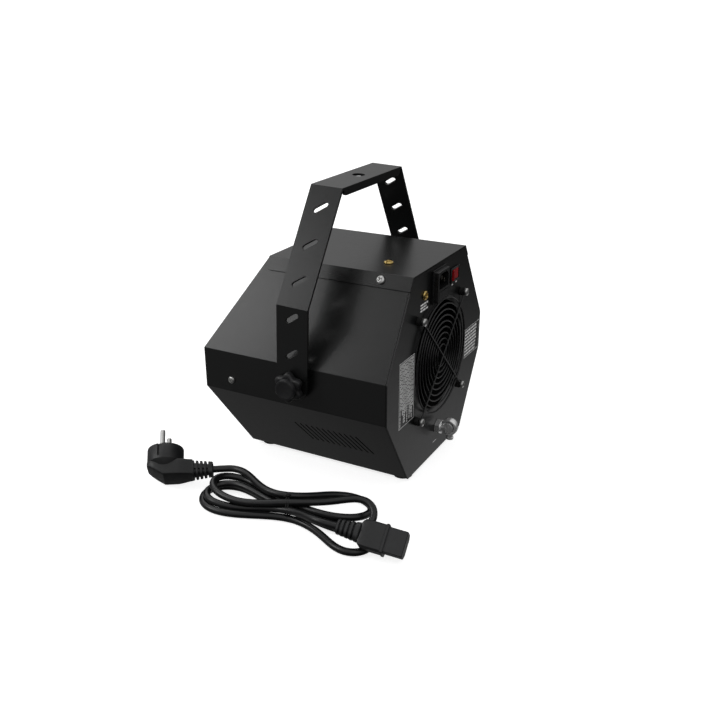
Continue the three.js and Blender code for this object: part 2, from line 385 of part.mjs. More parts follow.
// ------------------------------------------------------------------ hanging bracket
{
  const holder = new THREE.Group();
  holder.position.set(0, PIVOT_Y, PIVOT_Z);
  holder.rotation.x = -BRACKET_TILT * Math.PI / 180;
  machine.add(holder);
  const zf = ARM_FOLD_Z - PIVOT_Z, zb = BAR_Z - PIVOT_Z, w = ARM_W / 2;
  const path = [[ARM_X, -w - 2], [ARM_X, zf], [BAR_X, zb], [-BAR_X, zb], [-ARM_X, zf], [-ARM_X, -w - 2]];
  let strap = prismY(strip(path, ARM_T), -w, w);
  // rounded lower ends about the pivots
  const round = [[-w, 400], [-w, 0]];
  for (let i = 1; i < 12; i++) round.push([-w * Math.cos(i * Math.PI / 12), -w * Math.sin(i * Math.PI / 12)]);
  round.push([w, 0], [w, 400]);
  strap = common(strap, prismX(round, -200, 200));
  // stiffening lip along the rear edge of the bar
  const lipL = BAR_X - 3.4;
  const lip = [[-lipL, zb - 1], [lipL, zb - 1], [lipL - 0.2, zb - LIP + 2.6], [lipL - 2.4, zb - LIP + 0.4], [lipL - 4, zb - LIP], [-lipL + 4, zb - LIP], [-lipL + 2.4, zb - LIP + 0.4], [-lipL + 0.2, zb - LIP + 2.6]];
  strap = strap.add(prismY(lip, w - ARM_T, w));
  strap = strap.subtract(cylZ(0, 0, BAR_HOLE_R, zb - 6, zb + 6, 28));
  const up = Math.atan2(zb - zf, ARM_X - BAR_X);
  for (const s of [1, -1]) {
    strap = strap.subtract(cylX(0, 0, 4.4, s > 0 ? ARM_X - 8 : -ARM_X - 4, s > 0 ? ARM_X + 4 : -ARM_X + 8, 20));
    for (const d of [25.2 + 2 * SLOT_PITCH, 25.2 + SLOT_PITCH, 25.2, 25.2 - SLOT_PITCH, 25.2 - 2 * SLOT_PITCH]) {
      const yy = new THREE.Vector3(0, 1, 0);
      const dir = d > 0 ? new THREE.Vector3(-s * Math.cos(up), 0, Math.sin(up)) : new THREE.Vector3(0, 0, 1);
      const m = new THREE.Matrix4().makeBasis(yy, dir, new THREE.Vector3().crossVectors(yy, dir));
      m.setPosition(s * ARM_X + dir.x * d, 0, zf + dir.z * d);
      const g = new THREE.ExtrudeGeometry(shapeOf(slotOutline(0, 0, SLOT_HALF, SLOT_R, SLOT_ANGLE, 3)), { depth: 16, bevelEnabled: false, steps: 1 });
      g.translate(0, 0, -8); g.applyMatrix4(m);
      strap = strap.subtract(toSolid(g));
    }
  }
  add('hanging_bracket', strap, coat(), holder);
}
for (const s of [1, -1]) {
  const side = s > 0 ? 'near' : 'far';
  const m = (x0, x1) => (s > 0 ? [x0, x1] : [-x1, -x0]);
  add('pivot_spacer_' + side, minus(cylX(PIVOT_Y, PIVOT_Z, 11, ...m(HS + GAP, ARM_X - ARM_T - GAP), 24), cylX(PIVOT_Y, PIVOT_Z, 4.4, ...m(HS - 4, ARM_X + 4), 20)), rubber());
  const lobes = [];
  for (let i = 0; i < 30; i++) {
    const a = i * 2 * Math.PI / 30, r = KNOB_R - 1.7 + 1.7 * Math.cos(6 * a);
    lobes.push([PIVOT_Y + r * Math.cos(a), PIVOT_Z + r * Math.sin(a)]);
  }
  const x0 = ARM_X + GAP;
  add('clamp_knob_' + side, sum(prismX(lobes, ...m(x0 + 1.5, x0 + KNOB_T)), cylX(PIVOT_Y, PIVOT_Z, 9, ...m(x0, x0 + 2), 16),
    cylX(PIVOT_Y, PIVOT_Z, CAP_R, ...m(x0 + KNOB_T - 1, x0 + KNOB_T + CAP_T), 20), cylX(PIVOT_Y, PIVOT_Z, 4, ...m(HS - 12, x0 + 1), 12)), black());
}

// ------------------------------------------------------------------ mains lead, tied and laid beside the machine
{
  const frameAt = (x, y, z, o) => new THREE.Matrix4().makeBasis(x, y, z).setPosition(...o);
  const V = (...p) => new THREE.Vector3(...p);
  const taper = (profile, n = 16) => toSolid(new THREE.LatheGeometry(profile.map((p) => new THREE.Vector2(...p)), n));
  // earthed angled plug lying on its back, pins up: x across, y towards the cord, z along the pins
  const cordDir = V(-0.57098, 0.82097, 0), pinDir = V(-0.6725, -0.46772, 0.57358);
  const plugFrame = frameAt(new THREE.Vector3().crossVectors(cordDir, pinDir).normalize(), cordDir, pinDir, [180, -114.7, 20.7]);
  const RELIEF_H = -7.8, RELIEF_Y = 26.8, RELIEF_END = 47, PIN_TURN = 0.227;
  let plug = cylZ(0, 0, 18, 0, 16.4, 32);
  plug = plug.add(turned(taper([[0, -6], [13.5, -6], [18, 0.2], [0, 0.2]], 32), new THREE.Matrix4().makeRotationX(Math.PI / 2)));
  plug = plug.add(common(prismX([[-17.4, 0.3], [-17.4, -5], [-1, -16.3], [27.2, -16.3], [27.2, 0.9], [16, 0.9]], -13.5, 13.5),
    prismZ([[-13.5, 12], [-9.6, 27.2], [9.6, 27.2], [13.5, 12], [13.5, -11], [9, -17.4], [-9, -17.4], [-13.5, -11]], -20, 2)));
  const cone = taper([[0, RELIEF_Y], [9.5, RELIEF_Y], [7.2, RELIEF_END], [0, RELIEF_END]]);
  plug = plug.add(turned(cone, new THREE.Matrix4().makeTranslation(0, 0, RELIEF_H)));
  const c = Math.cos(PIN_TURN), n = Math.sin(PIN_TURN);
  const groove = turned(box(16.2, 20, -2.5, 2.5, 4, 18), new THREE.Matrix4().makeRotationZ(-PIN_TURN));
  plug = minus(plug, cylZ(9.5 * c, -9.5 * n, 2.7, 10, 20, 12), cylZ(-9.5 * c, 9.5 * n, 2.7, 10, 20, 12), groove);
  add('lead_plug', turned(plug, plugFrame), black());
  for (const [id, d] of [['a', 9.5], ['b', -9.5]])
    add('lead_plug_pin_' + id, turned(cylZ(d * c, -d * n, 2.4, 10.3, 34.6, 12), plugFrame), steel());
  // appliance connector lying on one edge, x across the body, y towards its mating face
  const mate = V(-0.16209, 0.98021, -0.11367).normalize(), roll = 0.768;
  const flat = V(0.98666, 0.16316, 0), over = new THREE.Vector3().crossVectors(flat, mate);
  const across = flat.clone().multiplyScalar(Math.cos(roll)).addScaledVector(over, -Math.sin(roll)).normalize();
  const connFrame = frameAt(across, mate, new THREE.Vector3().crossVectors(across, mate), [196, 91.4, 21]);
  let conn = taper([[0, 0], [6.75, 0], [9, 21.8], [0, 21.8]]);
  conn = sum(conn, prismY([[-10, -6.4], [10, -6.4], [10, 6.4], [-10, 6.4]], 21, 24.5),
    prismY([[-12.7, -6.5], [-11, -8.2], [11, -8.2], [12.7, -6.5], [12.7, 6.8], [11, 8.2], [-11, 8.2], [-12.7, 6.8]], 23, 44),
    prismY([[-13.4, -8], [-12.4, -9], [12.4, -9], [13.4, -8], [13.4, 8], [12.4, 9], [-12.4, 9], [-13.4, 8]], 43, 46.2),
    prismY([[-11.3, 7.8], [11.3, 7.8], [11.3, -3.5], [7.5, -7.8], [-7.5, -7.8], [-11.3, -3.5]], 45, 63.6));
  for (const [dx, dz] of [[-7, 1.2], [7, 1.2], [0, -2.6]]) conn = conn.subtract(box(dx - 1.2, dx + 1.2, 48, 70, dz - 2.4, dz + 2.4));
  add('lead_connector', turned(conn, connFrame), black());
  // tied hank, waisted at the wire tie; lowered under the plug relief and cut back for the connector
  const hank = [[198.1, -60.1], [204.9, -47.3], [206.4, -36.9], [205.5, -27.4], [203.4, -18.5], [200.4, -10.0], [197.0, -1.7], [193.5, 6.6], [191.6, 11.3],
    [188.9, 18.8], [187.4, 24.7], [186.3, 30.8], [187.1, 37.6], [190.0, 45.5], [196.1, 56.9], [201.0, 68.8], [201.7, 78.9], [204.9, 90.2],
    [207.2, 101.0], [205.6, 110.1], [200.5, 117.7], [188.5, 122.3], [146.9, 104.1], [119.9, 82.6], [117.9, 71.8], [119.7, 62.8], [124.1, 54.9],
    [130.7, 48.0], [139.3, 41.9], [148.8, 36.2], [156.2, 30.7], [160.6, 26.1], [163.6, 20.9], [162.5, 13.8], [160.8, 6.5], [157.6, -3.6],
    [155.2, -10.1], [150.9, -21.8], [148.1, -32.8], [144.8, -44.1], [144.4, -54.1], [147.2, -62.6], [165.9, -64.3], [178.5, -68.6]];
  const tieFrame = frameAt(V(0.91662, 0.39977, 0), V(-0.39977, 0.91662, 0), V(0, 0, 1), [174, 25.4, 0]);
  const nearFrame = frameAt(V(0.98661, 0.16315, 0), V(-0.16315, 0.98661, 0), V(0, 0, 1), [196, 91.4, 0]);
  let coil = prismZ(hank, 0.4, 21);
  coil = minus(coil, turned(minus(box(-70, 70, -2.8, 2.8, -5, 40), box(-9.9, 9.9, -6, 6, 1.7, 18)), tieFrame),
    turned(box(-90, 60, -130, -69.5, 8.4, 40), tieFrame),
    turned(box(-16, 40, -1.2, 19, 8.4, 40), nearFrame), turned(box(-17, 40, 18, 90, -5, 40), nearFrame));
  add('lead_hank', coil, rubber());
  add('lead_tie', turned(minus(box(-11.6, 11.6, -2.2, 2.2, 0.2, 19.6), box(-10.2, 10.2, -5, 5, 1.4, 18.3)), tieFrame), black());
  const tube = (name, pts, steps) => {
    const curve = new THREE.CatmullRomCurve3(pts.map((p) => new THREE.Vector3(...p)));
    const g = new THREE.ExtrudeGeometry(shapeOf(circle(0, 0, LEAD_D / 2, 10)), { extrudePath: curve, steps, bevelEnabled: false });
    add(name, toSolid(g), rubber());
  };
  tube('lead_plug_end', [[157.9, -71.9, 16.2], [155.5, -68.4, 16.2], [152.6, -64.2, 16.2], [151.1, -61.9, 16.2]], 2);
}

export default machine;
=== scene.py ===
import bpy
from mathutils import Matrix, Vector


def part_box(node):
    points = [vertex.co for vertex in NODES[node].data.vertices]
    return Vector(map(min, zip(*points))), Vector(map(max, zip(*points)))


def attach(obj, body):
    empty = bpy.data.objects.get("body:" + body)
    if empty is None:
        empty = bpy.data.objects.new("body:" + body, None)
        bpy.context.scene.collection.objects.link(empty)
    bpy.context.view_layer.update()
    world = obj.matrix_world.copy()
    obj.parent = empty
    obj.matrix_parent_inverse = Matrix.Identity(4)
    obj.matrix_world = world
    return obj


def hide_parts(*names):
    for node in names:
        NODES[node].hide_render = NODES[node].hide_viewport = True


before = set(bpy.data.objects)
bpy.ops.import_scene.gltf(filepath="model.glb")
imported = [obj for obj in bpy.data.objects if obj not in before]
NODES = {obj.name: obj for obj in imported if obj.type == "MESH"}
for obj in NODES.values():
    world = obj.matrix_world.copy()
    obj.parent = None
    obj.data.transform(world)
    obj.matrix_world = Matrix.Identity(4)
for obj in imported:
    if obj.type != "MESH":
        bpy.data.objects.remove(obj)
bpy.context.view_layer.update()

import math
import bpy
import bmesh
from mathutils import Matrix, Vector

scene = bpy.context.scene
Y_SHIFT = 8.2                                   # casing frame to row frame, mm


def C(x, y, z):
    """A point of the casing, in mm, in the row frame in metres."""
    return Vector((x / 1000, (y - Y_SHIFT) / 1000, z / 1000))


# ---------------------------------------------------------------- camera
AZ, EL, ROLL = math.radians(118.2124), math.radians(22.5303), math.radians(-0.12764)
look = Vector((-math.sin(AZ) * math.cos(EL), math.cos(AZ) * math.cos(EL), -math.sin(EL)))
right = look.cross(Vector((0, 0, 1))).normalized()
up = right.cross(look)
r2 = right * math.cos(ROLL) + up * math.sin(ROLL)
u2 = -right * math.sin(ROLL) + up * math.cos(ROLL)
cam = bpy.data.cameras.new("camera")
cam.lens, cam.sensor_width, cam.sensor_fit = 44.61, 36.0, 'HORIZONTAL'
cam.dof.use_dof = False
cam.clip_start, cam.clip_end = 0.01, 200
cam_ob = bpy.data.objects.new("camera", cam)
m = Matrix((r2, u2, -look)).transposed().to_4x4()
m.translation = Vector((0.77747, 0.41805, 0.45815))
cam_ob.matrix_world = m
scene.collection.objects.link(cam_ob)
scene.camera = cam_ob


# ---------------------------------------------------------------- materials
def node_mat(name):
    mt = bpy.data.materials.new(name)
    mt.use_nodes = True
    nt = mt.node_tree
    nt.nodes.clear()
    out = nt.nodes.new('ShaderNodeOutputMaterial')
    bs = nt.nodes.new('ShaderNodeBsdfPrincipled')
    nt.links.new(bs.outputs[0], out.inputs[0])
    return mt, nt, bs


def finish_mat(name, colour, rough, metal=0.0, spec=0.5, grain=900.0, bump=0.15, vary=0.25, patch=9.0, rough_vary=0.08,
               wear=0.0, streak=None, coat=0.0, painted_glow=0.0):
    """Object-space procedural finish: cloudy colour, uneven sheen, fine grain in relief, paler worn edges."""
    mt, nt, bs = node_mat(name)
    N, L = nt.nodes.new, nt.links.new
    tc = N('ShaderNodeTexCoord')
    src = tc.outputs['Object']
    if streak:
        mp = N('ShaderNodeMapping'); mp.inputs['Scale'].default_value = streak
        L(src, mp.inputs[0]); src = mp.outputs[0]
    big = N('ShaderNodeTexNoise'); big.inputs['Scale'].default_value = patch; big.inputs['Detail'].default_value = 5
    L(src, big.inputs['Vector'])
    fine = N('ShaderNodeTexNoise'); fine.inputs['Scale'].default_value = grain; fine.inputs['Detail'].default_value = 3
    L(src, fine.inputs['Vector'])
    mid = N('ShaderNodeTexNoise'); mid.inputs['Scale'].default_value = grain / 7; mid.inputs['Detail'].default_value = 4
    L(src, mid.inputs['Vector'])
    # colour
    mixv = N('ShaderNodeMath'); mixv.operation = 'MULTIPLY_ADD'; mixv.inputs[1].default_value = 0.5
    L(fine.outputs[0], mixv.inputs[0])
    half = N('ShaderNodeMath'); half.operation = 'MULTIPLY'; half.inputs[1].default_value = 0.5
    L(big.outputs[0], half.inputs[0]); L(half.outputs[0], mixv.inputs[2])
    ramp = N('ShaderNodeValToRGB')
    lo, hi = [c * (1 - vary) for c in colour], [min(1, c * (1 + vary)) for c in colour]
    ramp.color_ramp.elements[0].position, ramp.color_ramp.elements[0].color = 0.3, (*lo, 1)
    ramp.color_ramp.elements[1].position, ramp.color_ramp.elements[1].color = 0.7, (*hi, 1)
    L(mixv.outputs[0], ramp.inputs[0])
    col = ramp.outputs[0]
    if wear > 0:
        geo = N('ShaderNodeNewGeometry')
        wr = N('ShaderNodeMapRange'); wr.inputs[1].default_value, wr.inputs[2].default_value = 0.53, 0.62
        wr.inputs[3].default_value, wr.inputs[4].default_value = 0.0, wear
        L(geo.outputs['Pointiness'], wr.inputs[0])
        tm = N('ShaderNodeMath'); tm.operation = 'MULTIPLY'
        L(wr.outputs[0], tm.inputs[0]); L(mid.outputs[0], tm.inputs[1])
        mx = N('ShaderNodeMix'); mx.data_type = 'RGBA'
        L(tm.outputs[0], mx.inputs[0]); L(col, mx.inputs[6])
        mx.inputs[7].default_value = (*[min(1, c * 4 + 0.05) for c in colour], 1)
        col = mx.outputs[2]
    L(col, bs.inputs['Base Color'])
    # roughness
    rr = N('ShaderNodeMapRange'); rr.inputs[1].default_value, rr.inputs[2].default_value = 0.3, 0.7
    rr.inputs[3].default_value, rr.inputs[4].default_value = max(0.03, rough - rough_vary), min(1, rough + rough_vary)
    L(mid.outputs[0], rr.inputs[0]); L(rr.outputs[0], bs.inputs['Roughness'])
    bs.inputs['Metallic'].default_value = metal
    bs.inputs['Specular IOR Level'].default_value = spec
    bs.inputs['Coat Weight'].default_value = coat
    bs.inputs['Coat Roughness'].default_value = 0.25
    # painted glow: emission makes the surface shine though it is no lamp
    if painted_glow > 0:
        bs.inputs['Emission Color'].default_value = (1, 1, 1, 1)
        bs.inputs['Emission Strength'].default_value = painted_glow
    if bump > 0:
        add = N('ShaderNodeMath'); add.operation = 'ADD'
        L(fine.outputs[0], add.inputs[0]); L(mid.outputs[0], add.inputs[1])
        bp = N('ShaderNodeBump'); bp.inputs['Strength'].default_value = bump; bp.inputs['Distance'].default_value = 0.0002
        L(add.outputs[0], bp.inputs['Height']); L(bp.outputs[0], bs.inputs['Normal'])
    return mt


COAT = finish_mat("powder_coat_black", (0.0075, 0.0078, 0.0078), 0.31, spec=0.5, grain=1100, bump=0.16, vary=0.15, patch=7, rough_vary=0.01, wear=0.0)
PLASTIC = finish_mat("plastic_black", (0.0058, 0.0058, 0.0062), 0.42, grain=1500, bump=0.10, vary=0.25, patch=30, wear=0.15)
PLASTIC_DARK = finish_mat("plastic_deep_black", (0.004, 0.004, 0.0045), 0.5, spec=0.35, grain=1500, bump=0.08, vary=0.2, patch=30)
KNOB = finish_mat("knob_plastic", (0.012, 0.012, 0.013), 0.48, grain=1300, bump=0.2, vary=0.3, patch=40, wear=0.25)
RUBBER = finish_mat("foot_rubber", (0.012, 0.012, 0.012), 0.8, spec=0.3, grain=1400, bump=0.3, vary=0.35, patch=40)
JACKET = finish_mat("cord_jacket", (0.0065, 0.0068, 0.0075), 0.33, grain=700, bump=0.10, vary=0.3, patch=25, rough_vary=0.06)
MOULD = finish_mat("lead_moulding", (0.0095, 0.0098, 0.0105), 0.46, grain=1700, bump=0.28, vary=0.3, patch=35, wear=0.25)
STEEL = finish_mat("zinc_steel", (0.62, 0.63, 0.64), 0.26, metal=1, grain=600, bump=0.06, vary=0.15, patch=60, rough_vary=0.08)
SCREW = finish_mat("screw_steel", (0.60, 0.60, 0.59), 0.30, metal=0.9, grain=900, bump=0.05, vary=0.15, patch=200, rough_vary=0.08)
CHROME = finish_mat("chrome", (0.93, 0.93, 0.93), 0.17, metal=0.68, grain=400, bump=0.03, vary=0.06, patch=40, rough_vary=0.05)
BRASS = finish_mat("brass", (0.62, 0.45, 0.16), 0.25, metal=1, grain=700, bump=0.06, vary=0.2, patch=100, rough_vary=0.08)
# painted shade: a dark non-metal colour for the cross recess faces, standing in for the shade inside the recess of the
# steel screw
RECESS_PAINTED_SHADE = finish_mat("screw_recess_painted_shade", (0.012, 0.012, 0.012), 0.55, metal=0, grain=900, bump=0.05, vary=0.2, patch=200)
# painted shade: inlet pins coloured far darker than bare contact metal, standing in for the shade deep in the inlet
# socket
CONTACT_PAINTED_SHADE = finish_mat("inlet_contact_painted_shade", (0.16, 0.15, 0.13), 0.35, metal=1, grain=900, bump=0.05, vary=0.2, patch=200)
SATIN = finish_mat("satin_chrome", (0.55, 0.55, 0.55), 0.42, metal=0.35, grain=700, bump=0.06, vary=0.1, patch=100)
RED = finish_mat("switch_red", (0.50, 0.012, 0.016), 0.25, grain=900, bump=0.04, vary=0.15, patch=60, coat=0.4)
TRAY = finish_mat("tray_plastic", (0.55, 0.56, 0.54), 0.45, grain=900, bump=0.08, vary=0.08, patch=12)
WHEEL = finish_mat("wheel_plastic", (0.03, 0.19, 0.06), 0.38, grain=900, bump=0.06, vary=0.15, patch=20)
WIRE = finish_mat("guard_wire", (0.005, 0.005, 0.0055), 0.33, grain=1400, bump=0.12, vary=0.25, patch=30, wear=0.3)
# white print with a painted glow: it emits light of its own to look brighter than the dim lighting on the rear plates
# leaves it
PRINT_PAINTED_GLOW = finish_mat("print_white_painted_glow", (0.93, 0.93, 0.92), 0.7, spec=0.3, grain=2200, bump=0.02, vary=0.06, patch=80, painted_glow=0.10)
HOSE = finish_mat("clear_hose", (0.45, 0.46, 0.45), 0.3, grain=500, bump=0.05, vary=0.1, patch=20)


# ---------------------------------------------------------------- mesh tools
def link(me, name, mat, body=None, sharp=32):
    me.materials.clear(); me.materials.append(mat)
    me.shade_smooth()
    me.set_sharp_from_angle(angle=math.radians(sharp))
    ob = bpy.data.objects.new(name, me)
    scene.collection.objects.link(ob)
    if body:
        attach(ob, body)
    return ob


def from_bm(bm, name, mat, body=None, sharp=32):
    bmesh.ops.recalc_face_normals(bm, faces=bm.faces)
    me = bpy.data.meshes.new(name)
    bm.to_mesh(me); bm.free()
    return link(me, name, mat, body, sharp)


def welded(node):
    bm = bmesh.new()
    bm.from_mesh(NODES[node].data)
    bmesh.ops.remove_doubles(bm, verts=bm.verts, dist=2e-6)
    bmesh.ops.dissolve_degenerate(bm, dist=1e-6, edges=bm.edges)
    bmesh.ops.dissolve_limit(bm, angle_limit=math.radians(0.9), verts=bm.verts, edges=bm.edges)
    return bm


def from_cad(node, mat, body, edge=0.25, fold=0.0, name=None, segs=2, sharp=32, min_len=0.0, tri=False):
    """The CAD node's own shape with rounded edges: folds get the bend radius, cut edges a small break."""
    bm = welded(node)
    width = max(edge, fold, 0.01)
    lay = bm.edges.layers.float.get('bevel_weight_edge') or bm.edges.layers.float.new('bevel_weight_edge')
    for e in bm.edges:
        if len(e.link_faces) != 2:
            continue
        a = e.calc_face_angle(0.0)
        if a < math.radians(25):
            continue
        ln = e.calc_length() * 1000
        if fold and ln > 20 and a < math.radians(76) and min(f.calc_area() for f in e.link_faces) > 3e-4:
            e[lay] = fold / width
        elif ln > min_len:
            e[lay] = edge / width
    bm.normal_update()
    if tri:
        bmesh.ops.triangulate(bm, faces=[f for f in bm.faces if len(f.verts) > 12], quad_method='BEAUTY', ngon_method='BEAUTY')
    me = bpy.data.meshes.new(name or node + ".look")
    bm.to_mesh(me); bm.free()
    ob = link(me, name or node + ".look", mat, body, sharp)
    bv = ob.modifiers.new("bevel", 'BEVEL')
    bv.limit_method = 'WEIGHT'; bv.width = width / 1000; bv.segments = segs
    bv.use_clamp_overlap = True; bv.miter_outer = 'MITER_ARC'
    wn = ob.modifiers.new("normals", 'WEIGHTED_NORMAL'); wn.keep_sharp = True; wn.weight = 60
    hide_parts(node)
    return ob


def lathe(profile, n, name, mat, body, place, sharp=32, radial=None):
    """Closed turned solid. profile is [radius, height] in mm from axis to axis; place maps local mm (z up) to the row frame."""
    bm = bmesh.new()
    rings = []
    for r, h in profile:
        if r < 1e-6:
            rings.append([bm.verts.new(place @ Vector((0, 0, h)))])
        else:
            ring = []
            for i in range(n):
                a = 2 * math.pi * i / n
                rr = radial(r, h, a) if radial else r
                ring.append(bm.verts.new(place @ Vector((rr * math.cos(a), rr * math.sin(a), h))))
            rings.append(ring)
    for p, q in zip(rings, rings[1:]):
        for i in range(n):
            j = (i + 1) % n
            if len(p) == 1 and len(q) == 1:
                continue
            if len(p) == 1:
                bm.faces.new((p[0], q[i], q[j]))
            elif len(q) == 1:
                bm.faces.new((p[i], q[0], p[j]))
            else:
                bm.faces.new((p[i], q[i], q[j], p[j]))
    if name is None:
        return bm
    return from_bm(bm, name, mat, body, sharp)


def place_at(origin, zdir, xhint=(0, 0, 1)):
    """mm local frame at a row-frame point in metres, its z along zdir."""
    z = Vector(zdir).normalized()
    x = Vector(xhint) - z * Vector(xhint).dot(z)
    if x.length < 1e-6:
        x = Vector((1, 0, 0)) - z * z.x
    x.normalize()
    y = z.cross(x)
    mm = Matrix((x, y, z)).transposed().to_4x4() @ Matrix.Scale(0.001, 4)
    mm.translation = Vector(origin)
    return mm


def join(parts, name):
    """Several meshes as one object; each stays its own closed shell."""
    bm = bmesh.new()
    for b in parts:
        bmesh.ops.recalc_face_normals(b, faces=b.faces)
        me = bpy.data.meshes.new("tmp"); b.to_mesh(me); b.free()
        bm.from_mesh(me); bpy.data.meshes.remove(me)
    me = bpy.data.meshes.new(name)
    bm.to_mesh(me); bm.free()
    return me


def sweep(points, radius, n=10, closed=False):
    """bmesh tube along points in metres."""
    bm = bmesh.new()
    pts = [Vector(p) for p in points]
    rings = []
    ref = None
    for i, p in enumerate(pts):
        if closed:
            t = (pts[(i + 1) % len(pts)] - pts[i - 1]).normalized()
        else:
            t = (pts[min(i + 1, len(pts) - 1)] - pts[max(i - 1, 0)]).normalized()
        if ref is None:
            ref = t.orthogonal().normalized()
        ref = (ref - t * ref.dot(t)).normalized()
        b = t.cross(ref)
        rings.append([bm.verts.new(p + (ref * math.cos(2 * math.pi * k / n) + b * math.sin(2 * math.pi * k / n)) * radius) for k in range(n)])
    m_ = len(rings)
    for i in range(m_ if closed else m_ - 1):
        p, q = rings[i], rings[(i + 1) % m_]
        for k in range(n):
            bm.faces.new((p[k], p[(k + 1) % n], q[(k + 1) % n], q[k]))
    if not closed:
        bm.faces.new(list(reversed(rings[0]))); bm.faces.new(rings[-1])
    return bm


def slab(outline, z0, z1, place, bevel=0.0, segs=2):
    """Closed prism of an outline in local mm, its rims rounded."""
    bm = bmesh.new()
    area = sum(outline[i][0] * outline[(i + 1) % len(outline)][1] - outline[(i + 1) % len(outline)][0] * outline[i][1] for i in range(len(outline)))
    if area < 0:
        outline = list(reversed(outline))
    lo = [bm.verts.new(Vector((x, y, z0))) for x, y in outline]
    hi = [bm.verts.new(Vector((x, y, z1))) for x, y in outline]
    bm.faces.new(list(reversed(lo))); bm.faces.new(hi)
    for i in range(len(lo)):
        j = (i + 1) % len(lo)
        bm.faces.new((lo[i], lo[j], hi[j], hi[i]))
    if bevel > 0:
        es = [e for e in bm.edges if e.calc_face_angle(0) > math.radians(25)]
        bmesh.ops.bevel(bm, geom=es, offset=bevel, segments=segs, profile=0.5, affect='EDGES', clamp_overlap=True)
    bm.transform(place)
    return bm


# ---------------------------------------------------------------- mains lead: cord first
ROUTE = [
    (196.0, 83.2, 21.0), (196.9, 78.3, 21.6), (198.5, 68.5, 22.7), (196.9, 58.8, 22.0), (192.8, 50.0, 19.7), (188.2, 41.6, 16.9), (184.4, 32.8, 14.1),
    (182.1, 23.3, 11.9), (181.6, 13.5, 10.2), (182.7, 3.7, 8.8), (185.0, -5.9, 7.6), (188.2, -15.4, 6.7), (191.7, -24.7, 6.5), (195.0, -34.2, 6.9),
    (197.2, -43.9, 7.8), (197.1, -53.8, 8.7), (193.0, -62.6, 9.2), (184.9, -68.0, 9.1), (175.2, -68.0, 8.9), (167.0, -62.6, 8.9), (162.8, -53.8, 9.2),
    (162.3, -43.8, 9.4), (164.0, -34.0, 9.5), (166.6, -24.3, 9.6), (169.3, -14.7, 9.7), (171.7, -5.0, 9.6), (173.5, 4.8, 9.2), (174.7, 14.7, 8.5), (175.5,
    24.6, 7.5), (175.9, 34.5, 6.4), (176.2, 44.5, 5.4), (176.5, 54.4, 4.5), (176.7, 64.4, 3.9), (176.5, 74.4, 3.6), (175.3, 84.3, 3.5), (174.1, 94.2,
    3.5), (176.6, 103.6, 3.5), (184.0, 109.7, 3.5), (193.5, 109.7, 3.5), (201.0, 103.6, 3.5), (203.8, 94.2, 3.5), (202.1, 84.4, 3.5), (198.1, 75.3, 3.5),
    (193.4, 66.4, 3.5), (189.0, 57.4, 3.5), (185.4, 48.0, 3.5), (183.1, 38.3, 3.5), (182.3, 28.3, 3.5), (183.3, 18.4, 3.5), (185.8, 8.7, 3.5), (189.3,
    -0.7, 3.5), (193.2, -9.9, 3.5), (197.0, -19.1, 3.5), (200.3, -28.6, 3.5), (202.5, -38.4, 3.5), (202.8, -48.3, 3.5), (200.5, -58.0, 3.5), (195.2,
    -66.4, 3.5), (187.0, -72.0, 3.5), (177.3, -73.4, 3.5), (168.1, -69.8, 3.5), (161.6, -62.4, 3.5), (158.5, -53.0, 3.5), (158.3, -43.0, 3.5), (160.1,
    -33.2, 3.5), (162.7, -23.5, 3.5), (165.4, -13.9, 3.5), (167.6, -4.1, 3.5), (169.1, 5.8, 3.5), (169.6, 15.8, 3.5), (169.5, 25.8, 3.5), (169.1, 35.8,
    3.5), (169.0, 45.8, 3.5), (169.2, 55.8, 3.5), (169.6, 65.8, 3.5), (169.5, 75.8, 3.5), (168.3, 85.7, 3.6), (164.5, 94.3, 5.9), (157.6, 98.3, 11.1),
    (150.7, 95.4, 16.9), (147.1, 87.3, 20.7), (147.8, 77.5, 21.5), (151.4, 68.2, 20.4), (156.1, 59.4, 19.0), (161.1, 50.8, 18.1), (166.1, 42.0, 17.7),
    (170.9, 33.2, 17.6), (175.5, 24.3, 17.5), (179.8, 15.2, 17.1), (183.7, 6.0, 16.2), (187.1, -3.3, 15.1), (189.8, -12.9, 14.1), (191.7, -22.8, 13.5),
    (192.6, -32.7, 13.5), (192.1, -42.7, 14.1), (189.7, -52.4, 15.0), (184.6, -60.8, 15.8), (176.5, -66.5, 16.0), (166.8, -67.6, 15.0), (158.1, -63.7,
    13.0), (152.6, -55.8, 10.9), (151.2, -46.1, 9.5), (152.7, -36.3, 9.0), (155.7, -26.7, 9.0), (159.3, -17.4, 9.2), (162.6, -7.9, 9.5), (165.2, 1.7,
    9.9), (167.2, 11.5, 10.3), (168.7, 21.4, 10.6), (170.0, 31.3, 10.8), (170.9, 41.3, 10.9), (171.1, 51.3, 11.0), (169.8, 61.2, 10.8), (166.5, 70.5,
    10.2), (160.8, 78.6, 9.0), (152.8, 84.2, 7.4), (143.3, 86.3, 5.7), (133.7, 84.2, 4.4), (126.1, 78.1, 3.6), (121.9, 69.1, 3.6), (121.9, 59.3, 4.4),
    (125.7, 50.3, 5.9), (132.2, 43.0, 7.9), (140.1, 37.3, 10.2), (148.4, 32.4, 12.6), (156.5, 27.0, 14.9), (163.3, 20.0, 16.7), (168.0, 11.3, 17.6),
    (169.6, 1.6, 17.5), (168.4, -8.3, 17.1), (165.0, -17.7, 16.7), (160.5, -26.6, 16.5), (155.6, -35.3, 16.5), (151.0, -44.2, 16.5), (148.0, -53.7, 16.5),
    (148.1, -63.6, 16.3), (152.6, -72.4, 16.2), (158.3, -80.6, 16.2)]


def smooth_path(pts, k):
    out = []
    P = [Vector(p) / 1000 for p in pts]
    for i in range(len(P) - 1):
        a, b, c, d = P[max(i - 1, 0)], P[i], P[i + 1], P[min(i + 2, len(P) - 1)]
        for s in range(k):
            t = s / k
            out.append(0.5 * ((2 * b) + (c - a) * t + (2 * a - 5 * b + 4 * c - d) * t * t + (3 * b - a - 3 * c + d) * t ** 3))
    out.append(P[-1])
    return out


